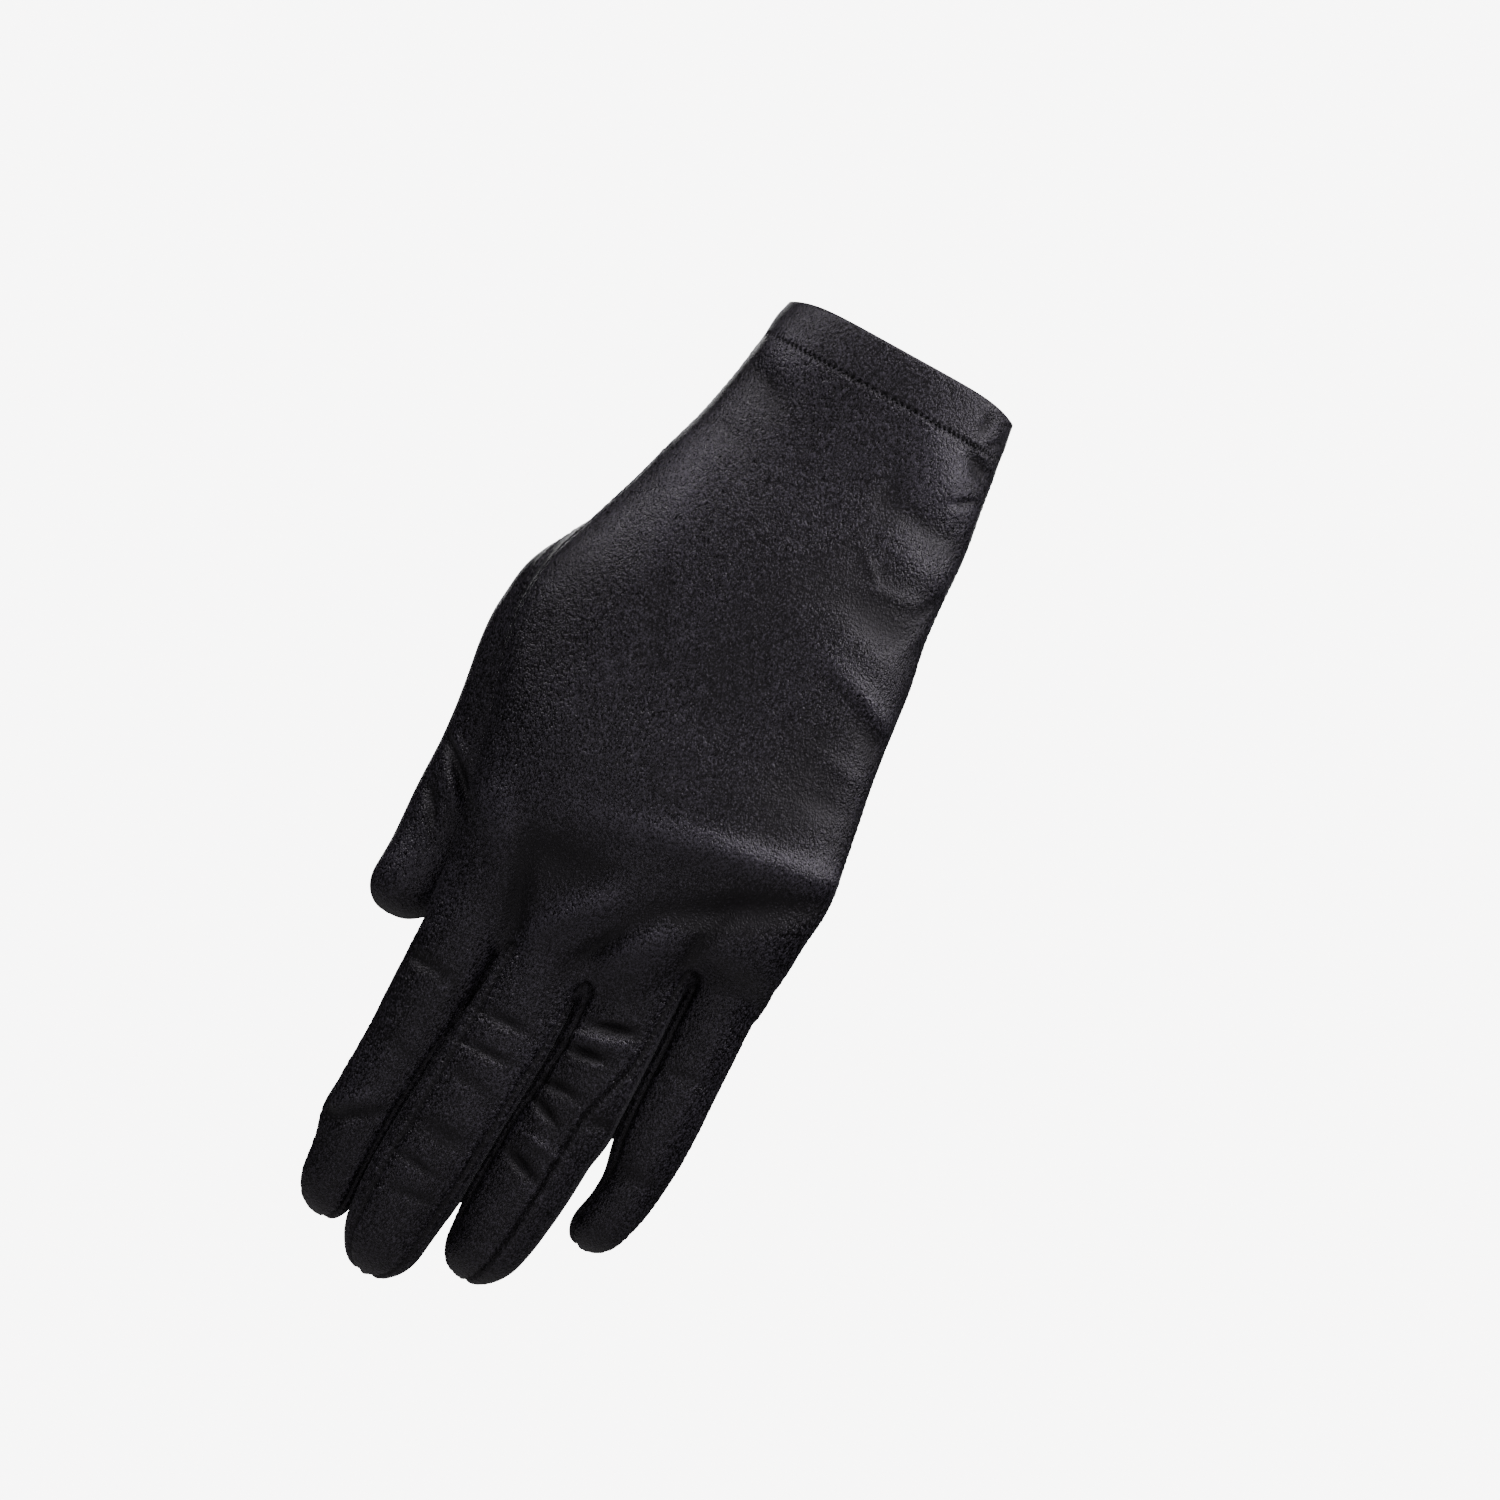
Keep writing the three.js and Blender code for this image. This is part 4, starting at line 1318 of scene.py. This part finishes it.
    def build(self) -> list[bpy.types.Object]:
        """Builds and dresses the sewn pieces.

        Returns:
            The pieces' objects.
        """
        pieces = self.cut()
        self.sew(pieces)
        made = []
        for name, cloth in pieces.items():
            slope = self.form.gradient(cloth.points)
            normals = slope / np.linalg.norm(slope, axis=1)[:, None]
            distance, length = self.seams.nearest(cloth.points)
            height = self.drape.height(cloth.points, normals, distance, length, self.calm(cloth.points))
            outer = cloth.points + normals * height[:, None]
            inner = outer - normals * CLOTH
            count = len(outer)
            edge = cloth.border()
            faces = [
                cloth.faces,
                cloth.faces[:, ::-1] + count,
                np.stack([edge[:, 1], edge[:, 0], edge[:, 0] + count], axis=1),
                np.stack([edge[:, 1], edge[:, 0] + count, edge[:, 1] + count], axis=1),
            ]
            is_fourchette = name.startswith("fourchette")
            slot = "fourchette_satin" if is_fourchette else "panel_satin"
            piece = Piece(name + "_satin", (name,), slot, FOURCHETTE_SATIN if is_fourchette else PANEL_SATIN)
            # The fold mark carries the cloth's heights, from which the satin paints shade into creases and
            # grooves and light onto ridges.
            marks = {"seam": np.tile(distance, 2), "fold": np.tile(height, 2)}
            made.append(piece.make(np.concatenate([outer, inner]), np.concatenate(faces), marks))
        return made


@dataclass
class WristHem:
    """The turned edge at the wrist: two plies with a rounded rim, held by the stitches' line."""

    OUTER_RISES = (0.0, 0.15, 0.3, 0.5, 0.75, 1.1, 1.7, 2.5, 3.5, 4.5, 5.5, 6.5, 7.5, 8.5, 9.3)
    INNER_DROPS = (1.1, 2.5, 4.0, 6.0, 8.0, 9.5, 11.0, 12.2)
    RIM_DROP = 0.7
    RIM_STEPS = 10
    LIP = 0.15
    LIP_ROUND = 0.12
    HELD = 11.7
    DIP_ENDS = 9.0
    DIP_POWER = 6

    ply: float = 0.5
    turning: float = 12.8
    front_dip: float = 0.9
    around: int = 744

    def profile(self) -> list[tuple[float, float]]:
        """The hem's closed section, from the stitches over the rim and back inside.

        Returns:
            Drop and offset of each of its corners.
        """
        deep = 2.0 * self.ply
        lip = self.turning - self.LIP
        outer = [(HEM_LINE - rise, 0.0) for rise in self.OUTER_RISES]
        turn = []
        for step in range(1, self.RIM_STEPS):
            angle = math.pi * step / self.RIM_STEPS
            drop = self.RIM_DROP - self.RIM_DROP * math.sin(angle)
            turn.append((drop, -deep * (1.0 - math.cos(angle)) / 2.0))
        inner = [(drop, -deep) for drop in (*self.INNER_DROPS, lip)]
        end = [(self.turning, -deep + self.LIP_ROUND), (self.turning, -self.ply - self.LIP_ROUND)]
        under = [(drop, -self.ply) for drop in (lip, self.HELD, HEM_LINE)]
        return outer + turn + inner + end + under

    def build(self, hand: Hand, drape: Drape) -> bpy.types.Object:
        """Builds the hem round the hand's form.

        Args:
            hand: The form that it lies round.
            drape: How the cloth folds.

        Returns:
            The hem's object.
        """
        turns = np.arange(self.around) / self.around
        rings, marks = [], []
        for drop, offset in self.profile():
            base, normals = hand.ring(turns, drop), hand.ring_normals(turns, drop)
            distance = np.full(self.around, abs(drop - HEM_LINE))
            height = drape.height(base, normals, distance, turns * HEM_ROUND, np.ones(self.around))
            ring = base + normals * (height + offset)[:, None]
            side = np.abs((base[:, 0] - base[:, 0].mean()) / (WRIST_WIDTH / 2.0)) ** self.DIP_POWER
            front = np.maximum((base[:, 1].mean() - base[:, 1]) / (WRIST_DEPTH / 2.0), 0.0)
            dip = RIM_DIP * np.minimum(side, 1.0) + self.front_dip * front
            ring[:, 2] -= dip * (1.0 - smooth(np.full(self.around, drop), 0.0, self.DIP_ENDS))
            rings.append(ring)
            marks.append((distance, height))
        points = np.concatenate(rings)
        here = np.arange(self.around)
        beside = (here + 1) % self.around
        faces = []
        for i in range(len(rings)):
            a, b = i * self.around, (i + 1) % len(rings) * self.around
            faces.append(np.stack([a + here, a + beside, b + beside], axis=1))
            faces.append(np.stack([a + here, b + beside, b + here], axis=1))
        piece = Piece("wrist_hem_satin", ("wrist_hem",), "hem_satin", HEM_SATIN)
        # The fold mark carries the hem's heights, from which the satin paints shade into creases and stitch
        # dents and light onto ridges.
        table = {"seam": np.concatenate([m[0] for m in marks]), "fold": np.concatenate([m[1] for m in marks])}
        return piece.make(points, np.concatenate(faces), table)


@dataclass
class HemStitches:
    """The row of small stitches that holds the hem, one thread that comes up and dips at each stitch."""

    drop: float = HEM_LINE - 0.1
    count: int = HEM_STITCHES
    share: float = 0.4
    thick: float = 0.3
    rise: float = 0.22
    sunk: float = 0.08
    taper: float = 0.75
    sides: int = 7
    rings: int = 7

    def build(self, hand: Hand, drape: Drape) -> bpy.types.Object:
        """Builds the stitches on the hem.

        Args:
            hand: The form that they lie round.
            drape: How the cloth under them folds.

        Returns:
            The stitches' object.
        """
        steps = np.linspace(-0.5, 0.5, self.rings)
        turns = ((np.arange(self.count)[:, None] + self.share * steps[None, :]) / self.count).ravel() % 1.0
        base, normals = hand.ring(turns, self.drop), hand.ring_normals(turns, self.drop)
        distance = np.full(len(turns), HEM_LINE - self.drop)
        height = drape.height(base, normals, distance, turns * HEM_ROUND, np.ones(len(turns)))
        arch = np.tile(self.rise * (1.0 - (2.0 * steps) ** 2) - self.sunk, self.count)
        middle = base + normals * (height + arch)[:, None]
        radius = np.tile(self.thick * (1.0 - self.taper * np.abs(2.0 * steps) ** 3), self.count)
        down = np.array([0.0, 0.0, 1.0])
        angles = 2.0 * math.pi * np.arange(self.sides) / self.sides
        rings = (
            middle[:, None, :]
            + radius[:, None, None] * np.cos(angles)[None, :, None] * normals[:, None, :]
            + radius[:, None, None] * np.sin(angles)[None, :, None] * down[None, None, :]
        )
        faces = []
        for stitch in range(self.count):
            for i in range(len(steps) - 1):
                a = (stitch * len(steps) + i) * self.sides
                b = a + self.sides
                for k in range(self.sides):
                    n = (k + 1) % self.sides
                    faces += [(a + k, b + n, a + n), (a + k, b + k, b + n)]
            for start, flip in ((stitch * len(steps), 1), (stitch * len(steps) + len(steps) - 1, -1)):
                a = start * self.sides
                faces += [(a, a + k, a + k + 1)[::flip] for k in range(1, self.sides - 1)]
        piece = Piece("hem_stitches", ("wrist_hem",), "hem_satin", THREAD)
        return piece.make(rings.reshape(-1, 3), np.array(faces), {})


class Value:
    """A number in a material: a socket, with operators that add the nodes that work it out."""

    def __init__(self, graph: "Graph", socket: bpy.types.NodeSocket) -> None:
        """Wraps a socket of a graph."""
        self.graph = graph
        self.socket = socket

    def _math(self, operation: str, first: "Value | float", second: "Value | float") -> "Value":
        """Result of a Math node."""
        return self.graph.node("ShaderNodeMath", {"operation": operation}, {0: first, 1: second})

    def __add__(self, other: "Value | float") -> "Value":
        """Sum."""
        return self._math("ADD", self, other)

    def __radd__(self, other: float) -> "Value":
        """Sum with a number first."""
        return self._math("ADD", other, self)

    def __sub__(self, other: "Value | float") -> "Value":
        """Difference."""
        return self._math("SUBTRACT", self, other)

    def __rsub__(self, other: float) -> "Value":
        """Difference from a number."""
        return self._math("SUBTRACT", other, self)

    def __mul__(self, other: "Value | float") -> "Value":
        """Product."""
        return self._math("MULTIPLY", self, other)

    def __rmul__(self, other: float) -> "Value":
        """Product with a number first."""
        return self._math("MULTIPLY", other, self)

    def __truediv__(self, other: "Value | float") -> "Value":
        """Quotient."""
        return self._math("DIVIDE", self, other)

    def __rtruediv__(self, other: float) -> "Value":
        """Quotient of a number by it."""
        return self._math("DIVIDE", other, self)

    def at_least(self, other: "Value | float") -> "Value":
        """The larger of the two."""
        return self._math("MAXIMUM", self, other)

    def at_most(self, other: "Value | float") -> "Value":
        """The smaller of the two."""
        return self._math("MINIMUM", self, other)


class Graph:
    """The nodes of one material."""

    def __init__(self, name: str) -> None:
        """Makes an empty material with its output.

        Args:
            name: Name of the material.
        """
        self.material = bpy.data.materials.new(name)
        self.material.use_nodes = True
        self.nodes = self.material.node_tree.nodes
        self.links = self.material.node_tree.links
        self.nodes.clear()
        self.output = self.nodes.new("ShaderNodeOutputMaterial")

    def node(
        self,
        kind: str,
        settings: dict[str, object],
        inputs: dict[int | str, object],
        result: int | str = 0,
    ) -> Value:
        """Adds a node.

        Args:
            kind: Type of the node.
            settings: The node's own settings.
            inputs: A value, a number or a colour for each socket that isn't left as it is.
            result: The socket that is wanted.

        Returns:
            The wanted socket.
        """
        node = self.nodes.new(kind)
        for name, setting in settings.items():
            setattr(node, name, setting)
        for name, value in inputs.items():
            if isinstance(value, Value):
                self.links.new(value.socket, node.inputs[name])
            else:
                node.inputs[name].default_value = value
        return Value(self, node.outputs[result])

    def scaled_position(self, scale: tuple[float, float, float]) -> Value:
        """Place in the object, with each axis multiplied."""
        place = self.node("ShaderNodeTexCoord", {}, {}, "Object")
        return self.node("ShaderNodeVectorMath", {"operation": "MULTIPLY"}, {0: place, 1: scale})

    def noise(self, scale: tuple[float, float, float], detail: float = 2.0) -> Value:
        """Noise between 0 and 1, with so many waves per metre along each axis."""
        place = self.scaled_position(scale)
        return self.node("ShaderNodeTexNoise", {}, {"Vector": place, "Scale": 1.0, "Detail": detail})

    def mark(self, name: str) -> Value:
        """A number that the mesh carries at its points."""
        return self.node("ShaderNodeAttribute", {"attribute_name": name}, {}, "Fac")

    def mix(self, share: Value, low: object, high: object) -> Value:
        """Mix of two colours."""
        return self.node("ShaderNodeMix", {"data_type": "RGBA"}, {0: share, 6: low, 7: high}, 2)

    def finish(self, shader: Value) -> bpy.types.Material:
        """Connects the shader and gives back the material."""
        self.links.new(shader.socket, self.output.inputs["Surface"])
        return self.material


Colour = tuple[float, float, float, float]


@dataclass(frozen=True)
class Satin:
    """Black stretch satin: a smooth face of long floats, with a soft sheen and a very fine rib."""

    CLOUDS = (70.0, 70.0, 45.0)
    FLOATS = (2100.0, 2100.0, 1700.0)
    RIBS = (4600.0, 4600.0, 3400.0)
    SEAM_REACH = 0.9
    FOLD_RANGE = (-1.0, 0.6)
    FLOAT_CONTRAST = 3.4
    RIB_CONTRAST = 2.2
    WEAVE = (0.7, 0.3)

    name: str
    deep: Colour = (0.0004, 0.0003, 0.0005, 1.0)
    light: Colour = (0.045, 0.0395, 0.053, 1.0)
    base_shade: float = 0.08
    cloud_shade: float = 0.15
    speck_shade: float = 0.75
    # Painted shade and light: share by which the cloth's fold heights darken the colour in creases, dents and
    # seam grooves and lighten it on ridges.
    painted_fold_shade: float = 0.5
    seam_shade: float = 0.15
    roughness: float = 0.26
    cloud_rough: float = 0.12
    speck_rough: float = 0.08
    seam_rough: float = 0.12
    crease_rough: float = 0.22
    sheen: float = 0.03
    sheen_roughness: float = 0.35
    sheen_tint: Colour = (0.8, 0.77, 0.84, 1.0)
    gloss: float = 0.36
    gloss_tint: Colour = (0.97, 0.9, 1.0, 1.0)
    relief: float = 0.00035

    def build(self) -> bpy.types.Material:
        """Builds the material.

        Returns:
            The material.
        """
        g = Graph(self.name)
        cloudy = g.noise(self.CLOUDS, 3.0)
        floats = g.noise(self.FLOATS, 1.0)
        rib = g.noise(self.RIBS, 0.0)
        seam = (1.0 - g.mark("seam") / self.SEAM_REACH).at_least(0.0)
        speck = (floats - 0.5) * self.FLOAT_CONTRAST + (rib - 0.5) * self.RIB_CONTRAST
        deepest, highest = self.FOLD_RANGE
        fold = g.mark("fold").at_least(deepest).at_most(highest)
        shade = cloudy * self.cloud_shade + speck * self.speck_shade + self.base_shade
        # Painted shade and light: the fold heights darken the colour in creases, dents and seam grooves and
        # lighten it on ridges.
        shade = shade + fold * self.painted_fold_shade - seam * self.seam_shade
        colour = g.mix(shade.at_least(0.0).at_most(1.0), self.deep, self.light)
        rough = self.roughness + cloudy * self.cloud_rough + speck * self.speck_rough
        rough = rough + seam * self.seam_rough - fold.at_most(0.0) * self.crease_rough
        weave = floats * self.WEAVE[0] + rib * self.WEAVE[1]
        normal = g.node("ShaderNodeBump", {}, {"Strength": 1.0, "Distance": self.relief, "Height": weave})
        shader = g.node(
            "ShaderNodeBsdfPrincipled",
            {},
            {
                "Base Color": colour,
                "Roughness": rough,
                "Normal": normal,
                "Sheen Weight": self.sheen,
                "Sheen Roughness": self.sheen_roughness,
                "Sheen Tint": self.sheen_tint,
                "Specular IOR Level": self.gloss,
                "Specular Tint": self.gloss_tint,
            },
        )
        return g.finish(shader)


@dataclass(frozen=True)
class Thread:
    """Black sewing thread with its twist."""

    name: str
    dark: Colour = (0.0008, 0.0007, 0.0009, 1.0)
    light: Colour = (0.003, 0.0027, 0.0034, 1.0)
    twists: tuple[float, float, float] = (3000.0, 3000.0, 9000.0)
    roughness: float = 0.6
    twist_rough: float = 0.2
    gloss: float = 0.2
    relief: float = 0.00005

    def build(self) -> bpy.types.Material:
        """Builds the material.

        Returns:
            The material.
        """
        g = Graph(self.name)
        twist = g.noise(self.twists, 1.0)
        colour = g.mix(twist, self.dark, self.light)
        normal = g.node("ShaderNodeBump", {}, {"Strength": 0.5, "Distance": self.relief, "Height": twist})
        rough = self.roughness + twist * self.twist_rough
        inputs = {
            "Base Color": colour,
            "Roughness": rough,
            "Normal": normal,
            "Specular IOR Level": self.gloss,
        }
        return g.finish(g.node("ShaderNodeBsdfPrincipled", {}, inputs))


@dataclass(frozen=True)
class Paper:
    """Pale matt studio paper."""

    name: str
    light: Colour = (0.88, 0.87, 0.865, 1.0)
    dark: Colour = (0.85, 0.84, 0.83, 1.0)
    roughness: float = 0.85

    def build(self) -> bpy.types.Material:
        """Builds the material.

        Returns:
            The material.
        """
        g = Graph(self.name)
        colour = g.mix(g.noise((3.0, 3.0, 3.0), 2.0), self.light, self.dark)
        inputs = {"Base Color": colour, "Roughness": self.roughness}
        return g.finish(g.node("ShaderNodeBsdfPrincipled", {}, inputs))


PANEL_SATIN = Satin("panel satin")
FOURCHETTE_SATIN = Satin("fourchette satin", roughness=0.34, sheen=0.08)
HEM_SATIN = Satin("hem satin", roughness=0.33)
THREAD = Thread("black thread")


@dataclass
class Piece:
    """A piece of the glove as an object of the scene."""

    SHARP_ANGLE = 65.0

    name: str
    nodes: tuple[str, ...]
    slot: str
    finish: Satin | Thread

    def make(self, points: Array, faces: Array, marks: dict[str, Array]) -> bpy.types.Object:
        """Makes the object.

        Args:
            points: Places in millimetres.
            faces: Triangles.
            marks: Numbers that the mesh carries at its points, by name.

        Returns:
            The object, which rides on the glove's body and stands for its nodes.
        """
        mesh = mesh_of(self.name, points, faces)
        for name, values in marks.items():
            mesh.attributes.new(name, "FLOAT", "POINT").data.foreach_set("value", values.astype(np.float32))
        mesh.set_sharp_from_angle(angle=math.radians(self.SHARP_ANGLE))
        material = bpy.data.materials.get(self.finish.name) or self.finish.build()
        mesh.materials.append(material)
        piece = bpy.data.objects.new(self.name, mesh)
        bpy.context.scene.collection.objects.link(piece)
        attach(piece, BODY)
        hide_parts(*self.nodes)
        log.info("%s: %d triangles", self.name, len(faces))
        return piece


def mesh_of(name: str, points: Array, faces: Array) -> bpy.types.Mesh:
    """Mesh of smooth triangles.

    Args:
        name: Name of the mesh.
        points: Places in millimetres.
        faces: Triangles.

    Returns:
        The mesh, in metres.
    """
    mesh = bpy.data.meshes.new(name)
    mesh.vertices.add(len(points))
    mesh.vertices.foreach_set("co", (points * MM).astype(np.float32).ravel())
    mesh.loops.add(faces.size)
    mesh.loops.foreach_set("vertex_index", faces.astype(np.int32).ravel())
    mesh.polygons.add(len(faces))
    mesh.polygons.foreach_set("loop_start", np.arange(0, faces.size, 3, dtype=np.int32))
    mesh.update(calc_edges=True)
    mesh.shade_smooth()
    return mesh


class Side(Enum):
    """Sides that a soft light stands on, by the direction from the glove."""

    LEFT = (-0.9, -0.3, 0.45)
    RIGHT = (0.85, -0.34, 0.56)
    TOP = (0.12, -0.55, 1.0)
    FRONT = (0.05, -1.0, -0.2)
    BACK = (-0.1, 1.0, 0.3)


@dataclass(frozen=True)
class Softbox:
    """A soft square light: its side, its distance and width in metres, and its power in watts."""

    side: Side
    away: float
    size: float
    power: float


SOFTBOXES = (
    Softbox(Side.LEFT, 0.6, 0.27, 2.1),
    Softbox(Side.RIGHT, 0.36, 0.17, 1.05),
    Softbox(Side.TOP, 1.0, 0.5, 9.0),
    Softbox(Side.FRONT, 1.6, 1.0, 5.0),
    Softbox(Side.BACK, 1.5, 1.0, 8.0),
)


@dataclass
class Studio:
    """The pale floor, the plain surroundings, the soft lights and the camera."""

    middle: tuple[float, float, float] = (0.0116, 0.0, -0.0897)
    camera_away: float = 2.0
    frame_width: float = 0.3172
    roll: float = 29.0
    floor: float = -1.1
    reach: float = 4.0
    corners: int = 64
    white: float = 8.0

    def camera(self) -> None:
        """Puts the camera at the photograph's angle."""
        data = bpy.data.cameras.new("camera")
        data.sensor_width = 36.0
        data.lens = data.sensor_width * self.camera_away / self.frame_width
        data.clip_start = 0.05
        camera = bpy.data.objects.new("camera", data)
        roll = math.radians(self.roll)
        right = Vector((math.cos(roll), 0.0, math.sin(roll)))
        up = Vector((-math.sin(roll), 0.0, math.cos(roll)))
        back = Vector((0.0, -1.0, 0.0))
        turn = Matrix((right, up, back)).transposed().to_4x4()
        place = Vector(self.middle) + back * self.camera_away
        camera.matrix_world = Matrix.Translation(place) @ turn
        bpy.context.scene.collection.objects.link(camera)
        bpy.context.scene.camera = camera

    def light(self, box: Softbox) -> None:
        """Adds a light.

        Args:
            box: What it is like.
        """
        data = bpy.data.lights.new(box.side.name.lower() + "_light", "AREA")
        data.shape = "SQUARE"
        data.size = box.size
        data.energy = box.power
        light = bpy.data.objects.new(data.name, data)
        direction = Vector(box.side.value).normalized()
        light.location = Vector(self.middle) + direction * box.away
        light.rotation_euler = direction.to_track_quat("Z", "Y").to_euler()
        light.visible_camera = False
        bpy.context.scene.collection.objects.link(light)

    def paper(self) -> None:
        """Lays the floor."""
        count = self.corners
        angles = 2.0 * math.pi * np.arange(count) / count
        ring = np.stack([np.cos(angles), np.sin(angles), np.zeros(count)], axis=1) * self.reach
        points = np.concatenate([np.zeros((1, 3)), ring]) + (0.0, 0.0, self.floor)
        faces = [(0, 1 + i, 1 + (i + 1) % count) for i in range(count)]
        mesh = mesh_of("studio_floor", points / MM, np.array(faces))
        mesh.materials.append(Paper("studio paper").build())
        floor = bpy.data.objects.new("studio_floor", mesh)
        bpy.context.scene.collection.objects.link(floor)

    def surroundings(self) -> None:
        """Closes the view with a plain white that sheds no light on the glove."""
        world = bpy.data.worlds.new("studio")
        bpy.context.scene.world = world
        world.use_nodes = True
        background = world.node_tree.nodes["Background"]
        background.inputs["Color"].default_value = (1.0, 0.99, 0.985, 1.0)
        background.inputs["Strength"].default_value = self.white
        world.cycles_visibility.diffuse = False
        world.cycles_visibility.glossy = False

    def build(self) -> None:
        """Builds the studio."""
        self.camera()
        self.paper()
        self.surroundings()
        for box in SOFTBOXES:
            self.light(box)


def main() -> None:
    """Builds the studio and the glove."""
    logging.basicConfig(level=logging.INFO, format="%(name)s: %(message)s")
    Studio().build()
    hand = SewnHand()
    hand.build()
    WristHem().build(hand.form.hand, hand.drape)
    HemStitches().build(hand.form.hand, hand.drape)


if __name__ == "__main__":
    main()
